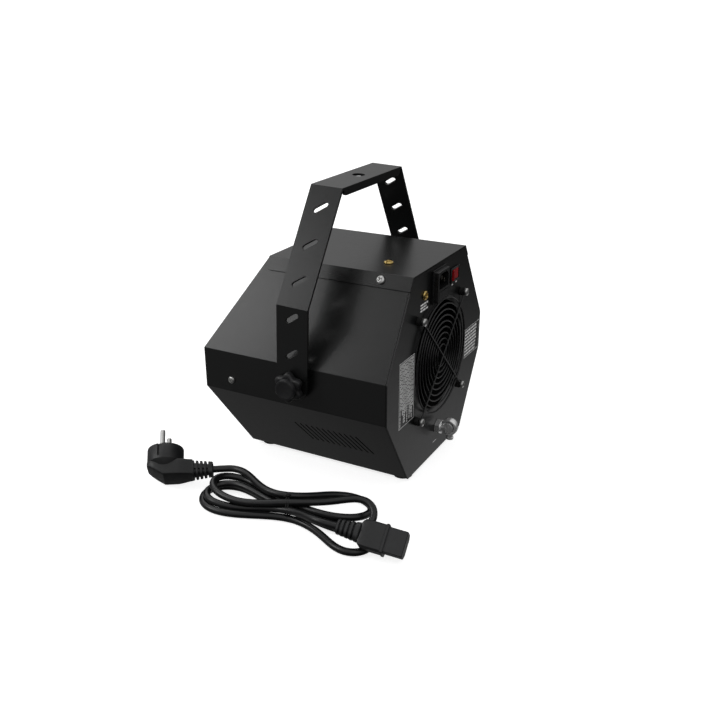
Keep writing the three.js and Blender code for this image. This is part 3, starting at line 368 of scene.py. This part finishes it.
path = smooth_path(ROUTE, 4)
cu = bpy.data.curves.new("mains_cord", 'CURVE')
cu.dimensions = '3D'
sp = cu.splines.new('POLY')
sp.points.add(len(path) - 1)
for p, q in zip(sp.points, path):
    p.co = (*q, 1)
sp.use_smooth = True
cu.bevel_depth, cu.bevel_resolution, cu.use_fill_caps = 0.0035, 5, True
cord = bpy.data.objects.new("mains_cord", cu)
scene.collection.objects.link(cord)
cu.materials.append(JACKET)
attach(cord, "housing")
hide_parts("lead_hank", "lead_plug_end")

# wire tie round the seven runs
D, A = Vector((-0.39977, 0.91662, 0)), Vector((0.91662, 0.39977, 0))
tc = C(174, 25.4, 0)
loop = []
core = [(-3.6, 3.5), (3.6, 3.5), (7.2, 9.7), (3.6, 15.9), (-3.6, 15.9), (-7.2, 9.7)]
hull = []
for i in range(72):
    a = 2 * math.pi * i / 72
    d = Vector((math.cos(a), math.sin(a)))
    best = max(core, key=lambda q: q[0] * d[0] + q[1] * d[1])
    hull.append((best[0] + 4.35 * d[0], max(0.75, best[1] + 4.35 * d[1])))
for u_, w_ in hull:
    loop.append(tc + A * (u_ / 1000) + Vector((0, 0, w_ / 1000)) + D * (0.0006 * math.sin(3 * (u_ + w_) / 10)))
parts = [sweep([q + D * 0.0011 for q in loop], 0.0008, 8, True), sweep([q - D * 0.0009 for q in loop], 0.0008, 8, True)]
knot = tc + A * -0.0015 + Vector((0, 0, 0.0212))
for s_ in (1, -1):
    parts.append(sweep([knot + (A * math.cos(a) + D * math.sin(a) * s_) * 0.0011 + D * s_ * 0.004 * (a / 6.0) + Vector((0, 0, 0.0009 * math.sin(2 * a))) for a in [i * 0.5 for i in range(13)]], 0.00062, 7))
me = join(parts, "lead_wire_tie")
tie = link(me, "lead_wire_tie", PLASTIC_DARK, "housing")
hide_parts("lead_tie")

# ---------------------------------------------------------------- angled earthed plug
cdir, pdir = Vector((-0.57098, 0.82097, 0)).normalized(), Vector((-0.6725, -0.46772, 0.57358)).normalized()
sdir = cdir.cross(pdir).normalized()
PF = Matrix((sdir, cdir, pdir)).transposed().to_4x4() @ Matrix.Scale(0.001, 4)
PF.translation = C(180, -114.7, 20.7)
TURN = -0.227


def relief(profile_pts, place, ribs, gap, depth, squash_=1.0):
    """Ribbed strain relief: a taper cut by grooves all round but for two spines."""
    (r0, h0), (r1, h1) = profile_pts
    prof = [[0, h0], [r0 - 0.5, h0], [r0, h0 + 0.5]]
    L_ = h1 - h0
    for k in range(ribs):
        c = h0 + L_ * (0.14 + 0.8 * k / ribs)
        f = lambda h: r0 + (r1 - r0) * (h - h0) / L_
        for dh, dd in ((-gap / 2 - 0.35, 0), (-gap / 2, 0.35), (-gap / 2 + 0.1, depth), (gap / 2 - 0.1, depth), (gap / 2, 0.35), (gap / 2 + 0.35, 0)):
            prof.append([f(c + dh) - dd, c + dh])
    prof += [[r1, h1 - 0.6], [r1 - 0.6, h1], [0, h1]]

    def radial(r, h, a):
        f = r0 + (r1 - r0) * (h - h0) / L_
        spine = abs(math.cos(a)) > 0.955
        base = min(f, max(r, f - 0.35)) if spine else r
        k = (abs(math.cos(a)) ** 3.2 + abs(math.sin(a)) ** 3.2) ** (-1 / 3.2)
        return base * k * squash_
    return lathe(prof, 40, None, None, None, place, radial=radial)


head_prof = [[0, -6.2], [13.2, -6.2], [13.8, -5.6], [17.5, -0.7], [18, 0.1], [18, 15.6], [17.7, 16.2], [17.1, 16.4], [15.6, 16.4], [0, 16.4]]


def head_radial(r, h, a):
    if r > 15 and h > 3.2:
        for c0 in (TURN, TURN + math.pi):
            d = (a - c0 + math.pi) % (2 * math.pi) - math.pi
            if abs(d) < 0.13:
                return min(r, 16.1)
    return r


def head_mesh():
    """Round plug head with a guide groove on each side; extra corners stand at the groove edges."""
    bm = bmesh.new()
    angs = [2 * math.pi * i / 48 for i in range(48)]
    for c0 in (TURN, TURN + math.pi):
        angs = [a for a in angs if abs((a - c0 + math.pi) % (2 * math.pi) - math.pi) > 0.2]
        angs += [(c0 + d) % (2 * math.pi) for d in (-0.16, -0.1305, -0.1295, 0.0, 0.1295, 0.1305, 0.16)]
    angs.sort()
    prof = head_prof[:5] + [[18, 3.1], [18, 3.3]] + head_prof[5:]
    rings = []
    for r, h in prof:
        if r < 1e-6:
            rings.append([bm.verts.new(PF @ Vector((0, 0, h)))])
        else:
            rings.append([bm.verts.new(PF @ Vector((head_radial(r, h, a) * math.cos(a), head_radial(r, h, a) * math.sin(a), h))) for a in angs])
    n_ = len(angs)
    for p, q in zip(rings, rings[1:]):
        for i in range(n_):
            j = (i + 1) % n_
            if len(p) == 1:
                bm.faces.new((p[0], q[i], q[j]))
            elif len(q) == 1:
                bm.faces.new((p[i], q[0], p[j]))
            else:
                bm.faces.new((p[i], q[i], q[j], p[j]))
    return bm


def frame_to(base, xd, yd, zd):
    """Matrix from a local frame to base's frame."""
    return base @ Matrix((xd, yd, zd)).transposed().to_4x4()


X_, Y_, Z_ = Vector((1, 0, 0)), Vector((0, 1, 0)), Vector((0, 0, 1))
# body under the head, towards the relief: stacked sections along the cord direction
sections = [(-17.3, 8.6, -5.0, 0.2), (-14, 12.2, -7.2, 0.25), (-9, 13.4, -10.8, 0.3), (-1, 13.5, -16.1, 0.35), (12, 13.5, -16.3, 0.6), (16, 12.6, -16.2, 0.8), (23, 10.4, -15.7, 0.9), (27.2, 9.3, -15.6, 0.9)]


def rounded(hw, lo, hi, rad, n=5):
    pts = []
    rad = min(rad, hw * 0.9, (hi - lo) * 0.45)
    for cx, cz, a0 in ((hw - rad, hi - rad, 0), (-hw + rad, hi - rad, 90), (-hw + rad, lo + rad, 180), (hw - rad, lo + rad, 270)):
        for i in range(n):
            a = math.radians(a0 + 90 * i / (n - 1))
            pts.append((cx + rad * math.cos(a), cz + rad * math.sin(a)))
    return pts


def loft(secs, place):
    """secs: (y, outline[(x, z)]) with equal counts; closed at both ends."""
    bm = bmesh.new()
    rings = [[bm.verts.new(place @ Vector((x, y, z))) for x, z in o] for y, o in secs]
    for p, q in zip(rings, rings[1:]):
        for i in range(len(p)):
            j = (i + 1) % len(p)
            bm.faces.new((p[i], p[j], q[j], q[i]))
    bm.faces.new(rings[0]); bm.faces.new(list(reversed(rings[-1])))
    return bm


body_secs = [(y, rounded(hw, lo, hi, 2.0)) for y, hw, lo, hi in sections]
rel_place = PF @ Matrix.Translation((0, 0, -7.8)) @ Matrix((X_, -Z_, Y_)).transposed().to_4x4()
plug_parts = [head_mesh(), loft(body_secs, PF), relief(((9.3, 26.6), (7.0, 47.0)), rel_place, 4, 1.7, 2.4)]
plug = link(join(plug_parts, "mains_plug"), "mains_plug", MOULD, "housing", 30)
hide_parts("lead_plug")
for s_, nm in ((1, "a"), (-1, "b")):
    o = Matrix.Translation((9.5 * s_ * math.cos(TURN), 9.5 * s_ * math.sin(TURN), 0))
    pin = from_bm(lathe([[0, 12], [2.4, 12], [2.4, 32.6], [2.2, 33.7], [1.6, 34.4], [0, 34.6]], 24, None, None, None, PF @ o), "mains_plug_pin_" + nm, SCREW, "housing", 40)
    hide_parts("lead_plug_pin_" + nm)

# ---------------------------------------------------------------- appliance connector
mate = Vector((-0.16209, 0.98021, -0.11367)).normalized()
flat_, rho = Vector((0.98666, 0.16316, 0)), 0.768
over = flat_.cross(mate)
across = (flat_ * math.cos(rho) - over * math.sin(rho)).normalized()
above = across.cross(mate).normalized()
KF = Matrix((across, mate, above)).transposed().to_4x4() @ Matrix.Scale(0.001, 4)
KF.translation = C(196, 91.4, 21)


def octo(hw, hh, ch):
    return [(-hw, -hh + ch), (-hw + ch, -hh), (hw - ch, -hh), (hw, -hh + ch), (hw, hh - ch), (hw - ch, hh), (-hw + ch, hh), (-hw, hh - ch)]


kk = frame_to(KF, X_, Z_, -Y_)                       # local x across, y up, z back along the body
grip = loft([(21.2, octo(8.6, 6.6, 2.0)), (22.2, octo(10.4, 7.2, 1.8)), (24.6, octo(12.5, 8.1, 1.8)), (30, octo(12.7, 8.25, 1.8)), (43.3, octo(12.7, 8.25, 1.8)), (43.6, octo(12.5, 8.1, 1.8))], KF)
flange = loft([(43.2, octo(12.9, 8.5, 1.2)), (43.6, octo(13.4, 9.0, 1.4)), (45.7, octo(13.4, 9.0, 1.4)), (46.1, octo(12.9, 8.6, 1.2))], KF)
front = [(-11.3, 7.3), (-10.8, 7.8), (10.8, 7.8), (11.3, 7.3), (11.3, -3.4), (7.6, -7.6), (-7.6, -7.6), (-11.3, -3.4)]
shr = lambda o, d: [(x * (1 - d / 11.3), z * (1 - d / 7.8)) for x, z in o]
nose = loft([(45.5, front), (62.9, front), (63.6, shr(front, 0.6))], KF)
conn_parts = [grip, flange, nose, relief(((6.6, 0.0), (8.9, 21.6)), KF @ Matrix((X_, -Z_, Y_)).transposed().to_4x4(), 4, 1.6, 2.0)]
for dx, dz, w_, h_ in ((-7, 1.2, 1.15, 2.5), (7, 1.2, 1.15, 2.5), (0, -2.6, 1.15, 2.5)):
    pass
conn = link(join(conn_parts, "appliance_connector"), "appliance_connector", MOULD, "housing", 28)
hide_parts("lead_connector")
# painted shade: dark boxes set flush into the connector face stand in for the shade inside its three socket slots,
# which are not cut as openings
slot_shade_boxes = []
for dx, dz in ((-7, 1.2), (7, 1.2), (0, -2.6)):
    slot_shade_boxes.append(loft([(60.0, [(dx - 1.25, dz - 2.6), (dx + 1.25, dz - 2.6), (dx + 1.25, dz + 2.6), (dx - 1.25, dz + 2.6)]), (63.66, [(dx - 1.25, dz - 2.6), (dx + 1.25, dz - 2.6), (dx + 1.25, dz + 2.6), (dx - 1.25, dz + 2.6)])], KF))
slot_shade = link(join(slot_shade_boxes, "connector_slot_painted_shade"), "connector_slot_painted_shade", PLASTIC_DARK, "housing")

# ---------------------------------------------------------------- steel sheet work
from_cad("housing_shell", COAT, "housing", edge=0.15, fold=1.5, segs=3, tri=True)
from_cad("lid", COAT, "housing", edge=0.25, fold=1.4, segs=3)
from_cad("rear_panel", COAT, "housing", edge=0.25, fold=0.6, segs=2)
from_cad("front_panel", COAT, "housing", edge=0.25, fold=0.6, segs=2)
from_cad("hanging_bracket", COAT, "bracket", edge=0.3, fold=1.6, segs=3)

# ---------------------------------------------------------------- screws with a cross recess
def screw_head(place, r, h, turn, shank_r=None, shank_l=0.0):
    lines = [-1.0, -0.93, -0.8, -0.63, -0.535, -0.505, -0.35, -0.185, -0.155, 0.0, 0.155, 0.185, 0.35, 0.505, 0.535, 0.63, 0.8, 0.93, 1.0]
    n_ = len(lines)
    bm = bmesh.new()
    grid = {}
    ca, sa = math.cos(turn), math.sin(turn)
    for i, u in enumerate(lines):
        for j, v in enumerate(lines):
            x, y = u * math.sqrt(1 - v * v / 2), v * math.sqrt(1 - u * u / 2)
            rr = math.hypot(x, y)
            z = h * (0.42 + 0.58 * math.sqrt(max(0.0, 1 - rr * rr * 0.98)))
            inside = (abs(u) <= 0.156 and abs(v) <= 0.505) or (abs(v) <= 0.156 and abs(u) <= 0.505)
            if inside:
                z -= h * 0.62
            grid[i, j] = bm.verts.new(place @ Vector(((x * ca - y * sa) * r, (x * sa + y * ca) * r, z)))
    for i in range(n_ - 1):
        for j in range(n_ - 1):
            f = bm.faces.new((grid[i, j], grid[i + 1, j], grid[i + 1, j + 1], grid[i, j + 1]))
            um, vm = (lines[i] + lines[i + 1]) / 2, (lines[j] + lines[j + 1]) / 2
            # faces in the cross recess take the second slot, the dark colour painted as shade in the recess
            if (abs(um) < 0.20 and abs(vm) < 0.52) or (abs(vm) < 0.20 and abs(um) < 0.52):
                f.material_index = 1
    rim = [grid[i, 0] for i in range(n_)] + [grid[n_ - 1, j] for j in range(1, n_)] + [grid[i, n_ - 1] for i in range(n_ - 2, -1, -1)] + [grid[0, j] for j in range(n_ - 2, 0, -1)]
    inv = place.inverted()
    low = []
    for v in rim:
        q = inv @ v.co
        low.append(bm.verts.new(place @ Vector((q.x, q.y, 0))))
    for i in range(len(rim)):
        j = (i + 1) % len(rim)
        bm.faces.new((rim[i], rim[j], low[j], low[i]))
    bm.faces.new(low)
    return bm


def node_top(node, zdir):
    """Middle of the end of a turned CAD node that faces zdir."""
    z = Vector(zdir).normalized()
    vs = [v.co.copy() for v in NODES[node].data.vertices]
    top = max(v.dot(z) for v in vs)
    near = [v for v in vs if v.dot(z) > top - 2e-5]
    c = Vector((0, 0, 0))
    for v in near:
        c += v
    return c / len(near), top - min(v.dot(z) for v in vs)


def screw(node, zdir, r, h, turn, body="housing", washer=False):
    top, _ = node_top(node, zdir)
    z = Vector(zdir).normalized()
    base = top - z * (h / 1000)
    pl = place_at(base, z)
    parts_ = [screw_head(pl, r, h, turn)]
    shank = max(1.2, r * 0.42)
    ln = (_ * 1000 - h)
    parts_.append(lathe([[0, -ln], [shank * 0.8, -ln], [shank, -ln + 1], [shank, 0.1], [0, 0.1]], 16, None, None, None, pl))
    ob = link(join(parts_, node + ".head"), node + ".head", SCREW, body, 38)
    # second slot: the painted shade colour of the cross recess
    ob.data.materials.append(RECESS_PAINTED_SHADE)
    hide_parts(node)
    return ob


SL = math.hypot(86.7, 53.3)
slant = lambda s_: (s_ * 86.7 / SL, 0, 53.3 / SL)
for i in range(1, 5):
    lo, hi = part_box("lid_screw_%d" % i)
    s_ = 1 if (lo[0] + hi[0]) > 0 else -1
    screw("lid_screw_%d" % i, slant(s_), 4.1, 2.6, (0.55, 0.2, 0.9, 0.4)[i - 1])
screw("side_screw_near", (1, 0, 0), 3.5, 2.2, 0.3)
screw("side_screw_far", (-1, 0, 0), 3.5, 2.2, 0.8)
for i in range(1, 5):
    screw("guard_screw_%d" % i, (0, 1, 0), 3.9, 2.5, (0.35, 0.9, 0.1, 0.6)[i - 1])
    from_cad("guard_spacer_%d" % i, RUBBER, "housing", edge=0.4)

# ---------------------------------------------------------------- finger guard of round wire
FZ, GY = 115.9, 106.4
RY = GY - 3.2
guard_parts = []
for R_, w_, n_ in [(59.9, 1.05, 96)] + [(53.5 - 6 * i, 0.85, (90, 80, 72, 64, 56, 48, 36, 28)[i]) for i in range(8)]:
    guard_parts.append(sweep([C(R_ * math.cos(2 * math.pi * k / n_), RY, FZ + R_ * math.sin(2 * math.pi * k / n_)) for k in range(n_)], w_ / 1000, 10, True))
for a in (45, 135, 225, 315):
    ca, sa = math.cos(math.radians(a)), math.sin(math.radians(a))
    r_end = 52.5 * math.sqrt(2) - 3.6
    pts = [C(ca * r_, GY - 1.4, FZ + sa * r_) for r_ in (0, 20, 40, 60, r_end)]
    guard_parts.append(sweep(pts, 0.00082, 10))
    n_ = 32
    guard_parts.append(sweep([C(ca * 52.5 * math.sqrt(2) + 3.2 * math.cos(2 * math.pi * k / n_), GY - 1.4, FZ + sa * 52.5 * math.sqrt(2) + 3.2 * math.sin(2 * math.pi * k / n_)) for k in range(n_)], 0.00095, 8, True))
guard = link(join(guard_parts, "fan_guard.wires"), "fan_guard.wires", WIRE, "housing", 60)
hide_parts("fan_guard")

# ---------------------------------------------------------------- fan
from_cad("fan_frame", PLASTIC_DARK, "housing", edge=0.5, segs=2)
FAN_Y0 = 99.5 - 1.5 - 0.3 - 38
bm_parts = [lathe([[0, 6], [19.6, 6], [20.8, 7], [21, 9], [21, 31], [20.2, 32.4], [18.6, 33], [15.5, 33], [15.0, 32.6], [0, 32.6]], 56, None, None, None,
                  place_at(C(0, FAN_Y0, FZ), (0, 1, 0)))]
for k in range(7):
    bm = bmesh.new()
    rows = []
    for r_ in [19, 26, 34, 42, 50, 54.3]:
        ch = 11.0 + 2.8 * (r_ - 19) / 35
        tw = math.radians(52 - 22 * (r_ - 19) / 35)
        row_t, row_b = [], []
        for t in [-1, -0.6, -0.2, 0.2, 0.6, 1]:
            cam_ = 1.8 * (1 - t * t)
            th = 0.95 * math.sqrt(max(0.05, 1 - t * t * 0.96))
            xx, yy = t * ch, cam_
            tang = xx * math.cos(tw) - yy * math.sin(tw)
            ax = xx * math.sin(tw) + yy * math.cos(tw)
            ang = k * 2 * math.pi / 7 + tang / r_ + 0.006 * (r_ - 19)
            for lst, off in ((row_t, th), (row_b, -th)):
                a_ = ax + off
                y_l = min(36, max(6.2, 20 + a_))
                lst.append(bm.verts.new(C(r_ * math.cos(ang), FAN_Y0 + y_l, FZ + r_ * math.sin(ang))))
        rows.append((row_t, row_b))
    for (t0, b0), (t1, b1) in zip(rows, rows[1:]):
        for i in range(5):
            bm.faces.new((t0[i], t0[i + 1], t1[i + 1], t1[i])); bm.faces.new((b0[i + 1], b0[i], b1[i], b1[i + 1]))
        bm.faces.new((t0[0], t1[0], b1[0], b0[0])); bm.faces.new((t1[5], t0[5], b0[5], b1[5]))
    t0, b0 = rows[0]; bm.faces.new(t0[::-1] + b0)
    t0, b0 = rows[-1]; bm.faces.new(t0 + b0[::-1])
    bm_parts.append(bm)
imp = link(join(bm_parts, "fan_impeller.look"), "fan_impeller.look", PLASTIC_DARK, "fan_rotor", 40)
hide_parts("fan_impeller")

# ---------------------------------------------------------------- star knobs
for side, s_ in (("near", 1), ("far", -1)):
    pl = place_at(C(s_ * 123.9, 1.8, 110), (s_, 0, 0))

    def lob(r, h, a):
        f = max(0.0, min(1.0, (r - 9) / 5))
        return r + f * (1.7 * math.cos(6 * a) - 1.7)
    body_ = lathe([[0, 0.3], [8.8, 0.3], [9.3, 1.0], [9.6, 1.8], [14.4, 1.9], [15.3, 2.6], [15.6, 3.6], [15.6, 7.0], [15.2, 8.2], [14.2, 9.0], [12.6, 9.3], [11.4, 9.35], [10.9, 9.3], [0, 9.3]], 96, None, None, None, pl, radial=lob)
    cap_ = lathe([[0, 8.2], [10.2, 8.2], [10.2, 13.2], [9.9, 13.9], [9.2, 14.2], [8.0, 14.25], [7.6, 14.1], [0, 14.1]], 56, None, None, None, pl)
    bolt = lathe([[0, -19.5], [3.6, -19.5], [4, -19], [4, 0.5], [0, 0.5]], 24, None, None, None, pl)
    ob = link(join([body_, cap_, bolt], "clamp_knob_%s.look" % side), "clamp_knob_%s.look" % side, KNOB, "knob_" + side, 35)
    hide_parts("clamp_knob_" + side)
    from_cad("pivot_spacer_" + side, RUBBER, "housing", edge=0.4)

# ---------------------------------------------------------------- inlet, switch, inserts
from_cad("power_inlet", PLASTIC, "housing", edge=0.7, segs=3, min_len=2)
from_cad("fuse_drawer", PLASTIC, "fuse_tray", edge=0.4, min_len=2)
# inlet pins take the darkened contact colour, painted shade of the socket
for n_ in ("line", "neutral", "earth"):
    from_cad("inlet_pin_" + n_, CONTACT_PAINTED_SHADE, "housing", edge=0.4)
from_cad("power_switch_frame", PLASTIC, "housing", edge=0.6, segs=3, min_len=2)
from_cad("power_switch_rocker", RED, "rocker", edge=0.45, segs=3)
for node, zd in (("rear_threaded_insert", (0, 1, 0)), ("lid_threaded_insert", (0, 0, 1))):
    top, ln = node_top(node, zd)
    base = Vector(top) - Vector(zd) * 0.0022
    pl = place_at(base, zd)

    def hexy(r, h, a):
        return r
    parts_ = [lathe([[0, -9], [3.3, -9], [3.3, 0.3], [4.6, 0.3], [4.8, 0.5], [4.8, 0.9], [4.5, 1.4], [3.9, 2.0], [3.2, 2.2], [2.75, 2.15], [2.5, 1.7], [2.5, -4.9], [0, -4.9]], 40, None, None, None, pl)]
    for k in range(4):
        parts_.append(sweep([pl @ Vector((2.5 * math.cos(a), 2.5 * math.sin(a), 1.2 - k * 0.8)) for a in [i * math.pi / 12 for i in range(24)]], 0.00016, 6, True))
    ob = link(join(parts_, node + ".look"), node + ".look", BRASS, "housing", 35)
    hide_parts(node)

# ---------------------------------------------------------------- drain cock
DX, DZ, BY, BZ = -2.3, 34.0, 99.5 + 14.3, 36.2
hexa = [(8.1 * math.cos(math.radians(60 * k + 0)), 8.1 * math.sin(math.radians(60 * k + 0))) for k in range(6)]
plY = place_at(C(DX, 99.5, DZ), (0, 1, 0))
plX = place_at(C(DX, BY, BZ), (1, 0, 0))
plZ = place_at(C(DX - 2, BY, BZ), (0, 0, 1))
drain_parts = [slab(hexa, 0.3, 5.5, plY, 0.5, 3),
               lathe([[0, -26], [4.5, -26], [4.9, -25.4], [4.9, 0.8], [0, 0.8]], 32, None, None, None, plY),
               lathe([[0, 5], [5.9, 5], [5.9, 6.2], [5.2, 6.8], [5.2, 9.0], [5.6, 9.6], [5.6, 12.5], [0, 12.5]], 40, None, None, None, plY),
               lathe([[0, -7.2], [5.2, -7.2], [6.6, -6.6], [8.0, -5.4], [8.8, -3.6], [9.05, -1.6], [9.05, 1.0], [8.7, 1.3], [9.05, 1.6], [9.0, 2.2], [8.5, 2.9], [7.4, 3.3], [6.4, 3.2], [5.8, 2.6], [5.6, 1.2], [0, 1.2]], 64, None, None, None, plX),
               lathe([[0, -15], [2.6, -15], [2.6, -14.6], [3.4, -15], [3.9, -14.7], [4.0, -14.0], [4.0, -12.6], [3.5, -12.2], [3.5, -9], [4.2, -7], [4.2, 0], [0, 0]], 36, None, None, None, plZ)]
cock = link(join(drain_parts, "drain_cock.look"), "drain_cock.look", CHROME, "housing", 35)
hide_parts("drain_cock")
kparts = [lathe([[0, 1.6], [5.0, 1.6], [5.2, 1.9], [5.2, 4.1], [4.9, 4.5], [4.5, 4.6], [0, 4.6]], 48, None, None, None, plX),
          slab([(-4.3, -0.8), (4.3, -0.8), (4.3, 0.8), (-4.3, 0.8)], 4.5, 5.15, plX, 0.25, 2)]
kn = link(join(kparts, "drain_knob.look"), "drain_knob.look", SATIN, "drain_handle", 35)
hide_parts("drain_knob")
from_cad("drain_lock_nut", STEEL, "housing", edge=0.4)

# ---------------------------------------------------------------- feet
for node in ("foot_near_front", "foot_near_rear", "foot_far_front", "foot_far_rear"):
    lo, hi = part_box(node)
    c = Vector(((lo[0] + hi[0]) / 2, (lo[1] + hi[1]) / 2, lo[2]))
    r_ = (hi[0] - lo[0]) * 500
    h_ = (hi[2] - lo[2]) * 1000
    ob = lathe([[0, 0.5], [3.0, 0.5], [3.6, 0], [r_ - 2.2, 0], [r_ - 1.2, 0.5], [r_, h_ - 0.4], [r_ - 0.3, h_], [0, h_]], 48, node + ".look", RUBBER, "housing", place_at(c, (0, 0, 1)), 35)
    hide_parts(node)

# ---------------------------------------------------------------- works inside
from_cad("fluid_tray", TRAY, "housing", edge=0.5, min_len=2)
from_cad("drain_hose", HOSE, "housing", edge=0.0, sharp=60)
from_cad("motor_bracket", STEEL, "housing", edge=0.25, min_len=2)
from_cad("wheel_motor", STEEL, "housing", edge=0.5)
from_cad("wheel_shaft", STEEL, "wheels", edge=0.3)
from_cad("bubble_wheel_front", WHEEL, "wheels", edge=0.3, min_len=1)
from_cad("bubble_wheel_rear", WHEEL, "wheels", edge=0.3, min_len=1)

# ---------------------------------------------------------------- generic plates: plain bars, no lettering
def bars(name, x0, x1, z0, z1, rows, seed, border=0.4, vertical=False, dash=3.0):
    parts_ = []
    y0_, y1_ = 99.5 + 0.02, 99.5 + 0.09

    def bar(xa, xb, za, zb):
        bm = bmesh.new()
        co = [C(x, y, z) for x in (xa, xb) for y in (y0_, y1_) for z in (za, zb)]
        vs = [bm.verts.new(c) for c in co]
        for f in ((0, 1, 3, 2), (4, 6, 7, 5), (0, 4, 5, 1), (2, 3, 7, 6), (0, 2, 6, 4), (1, 5, 7, 3)):
            bm.faces.new([vs[i] for i in f])
        parts_.append(bm)
    if border:
        bar(x0, x1, z0, z0 + border); bar(x0, x1, z1 - border, z1)
        bar(x0, x0 + border, z0, z1); bar(x1 - border, x1, z0, z1)
    state = seed * 7919 + 13

    def rnd():
        nonlocal state
        state = (state * 1103515245 + 12345) % 2147483648
        return state / 2147483648
    mg = 1.3 if border else 0.0
    for k in range(rows):
        span = (z1 - z0 if vertical else x1 - x0) - 2 * mg
        w_ = ((x1 - x0 if vertical else z1 - z0) - 2 * mg) / rows
        base = (x0 if vertical else z0) + mg + k * w_
        p_, end = 0.0, span * ((0.72 + 0.28 * rnd()) if rows > 1 else 1.0)
        while p_ < end:
            d_ = dash * (0.5 + 1.5 * rnd())
            q_ = min(end, p_ + d_)
            if vertical:
                bar(base + w_ * 0.27, base + w_ * 0.73, z1 - mg - q_, z1 - mg - p_)
            else:
                bar(x1 - mg - q_, x1 - mg - p_, base + w_ * 0.22, base + w_ * 0.78)
            p_ = q_ + dash * 0.28
    # bars take the white print colour with its painted glow
    ob = link(join(parts_, name), name, PRINT_PAINTED_GLOW, "housing")
    return ob


bars("caution_plate_blank", 58, 91, 70, 138, 12, 2, vertical=True, dash=2.6)
bars("rating_plate_blank", -114, -72, 85, 118, 8, 5, dash=3.2)
bars("insert_mark_blank", 29, 47, 174.6, 183.4, 3, 4, border=0, dash=3.4)
bars("switch_mark_off", -31.5, -28.5, 180.5, 182.7, 1, 1, border=0, dash=3)
bars("switch_mark_on", -42, -38.5, 181.0, 183.2, 1, 1, border=0, dash=3)
bars("drain_mark_blank", -2, 7, 17.6, 19.6, 1, 3, border=0, dash=2.2)


FLOOR_E = 0.78
WORLD = [
    # direction, from, to, low, high
    ((0, 0, 1), -0.15, 0.50, 0.03, 0.55),
    ((-0.70, 0.30, -0.75), 0.875, 0.965, 0.0, 0.40),
    ((-0.3, -0.9, -0.4), 0.45, 1.0, 0.0, 0.16),
    ((0, -0.3, -1), 0.6, 1.0, 0.0, 0.04),
    ((0.78, -0.47, -0.41), 0.90, 0.99, 0.0, 0.13),
]
AREAS = [
    ("key", (-0.9, -1.2, 2.2), (0, 0, 0.1), (2.4, 2.4), 14),
    ("fill", (1.6, 1.6, 2.4), (0, 0, 0.1), (2.0, 2.0), 5),
    ("front_soft", (0.655, -0.70, 0.66), (0.09, -0.06, 0.17), (0.42, 0.42), 2.0),
]

# ---------------------------------------------------------------- floor, world and lights
fl = bpy.data.meshes.new("floor")
S = 120
fl.from_pydata([(-S, -S, 0), (S, -S, 0), (S, S, 0), (-S, S, 0)], [], [(0, 1, 2, 3)])
floor = bpy.data.objects.new("floor", fl)
scene.collection.objects.link(floor)
floor.location.z = -0.0004
fm, nt, bs = node_mat("floor_paper")
bs.inputs['Base Color'].default_value = (0.7, 0.7, 0.7, 1)
bs.inputs['Roughness'].default_value = 0.9
bs.inputs['Specular IOR Level'].default_value = 0.1
bs.inputs['Emission Color'].default_value = (1, 1, 1, 1)
bs.inputs['Emission Strength'].default_value = FLOOR_E
fl.materials.append(fm)
floor.visible_glossy = False
floor.visible_diffuse = False

wall_me = bpy.data.meshes.new("backdrop")
NW, RW, HW = 96, 8.0, 14.0
ring_ = [(RW * math.cos(2 * math.pi * k / NW), RW * math.sin(2 * math.pi * k / NW)) for k in range(NW)]
wall_me.from_pydata([(x, y, z) for z in (-0.5, HW) for x, y in ring_], [],
                    [(k, (k + 1) % NW, NW + (k + 1) % NW, NW + k) for k in range(NW)])
wall = bpy.data.objects.new("backdrop", wall_me)
scene.collection.objects.link(wall)
wm, nt, bs = node_mat("backdrop_paper")
bs.inputs['Base Color'].default_value = (0.7, 0.7, 0.7, 1)
bs.inputs['Roughness'].default_value = 0.9
bs.inputs['Specular IOR Level'].default_value = 0.1
bs.inputs['Emission Color'].default_value = (1, 1, 1, 1)
bs.inputs['Emission Strength'].default_value = 1.0
wall_me.materials.append(wm)
wall.visible_glossy = wall.visible_diffuse = wall.visible_shadow = wall.visible_transmission = False

world = bpy.data.worlds.new("studio")
scene.world = world
world.use_nodes = True
wn_ = world.node_tree
wn_.nodes.clear()
WN, WL = wn_.nodes.new, wn_.links.new
wo, bg = WN('ShaderNodeOutputWorld'), WN('ShaderNodeBackground')
WL(bg.outputs[0], wo.inputs[0])
tc_ = WN('ShaderNodeTexCoord')


def lobe(direction, a, b, lo, hi, smooth=True):
    """Brightness by how near the direction lies to a fixed one."""
    d = WN('ShaderNodeVectorMath'); d.operation = 'DOT_PRODUCT'
    d.inputs[1].default_value = Vector(direction).normalized()
    WL(tc_.outputs['Generated'], d.inputs[0])
    r = WN('ShaderNodeMapRange'); r.interpolation_type = 'SMOOTHSTEP' if smooth else 'LINEAR'
    r.inputs[1].default_value, r.inputs[2].default_value = a, b
    r.inputs[3].default_value, r.inputs[4].default_value = lo, hi
    WL(d.outputs['Value'], r.inputs[0])
    return r.outputs[0]


def total(vals):
    acc = vals[0]
    for v in vals[1:]:
        a = WN('ShaderNodeMath'); a.operation = 'ADD'
        WL(acc, a.inputs[0]); WL(v, a.inputs[1]); acc = a.outputs[0]
    return acc


WL(total([lobe(*w_) for w_ in WORLD]), bg.inputs['Strength'])
bg.inputs['Color'].default_value = (1, 1, 1, 1)


def area(name, loc, target, size, power):
    l = bpy.data.lights.new(name, 'AREA')
    l.shape, l.size, l.size_y, l.energy = 'RECTANGLE', size[0], size[1], power
    o = bpy.data.objects.new(name, l)
    o.location = loc
    o.rotation_euler = (Vector(target) - Vector(loc)).to_track_quat('-Z', 'Y').to_euler()
    scene.collection.objects.link(o)


for nm_, loc_, tgt_, sz_, pw_ in AREAS:
    area(nm_, loc_, tgt_, sz_, pw_)

scene.view_settings.view_transform = 'Standard'
scene.view_settings.look = 'None'
scene.view_settings.exposure = 0.0
scene.view_settings.gamma = 1.0
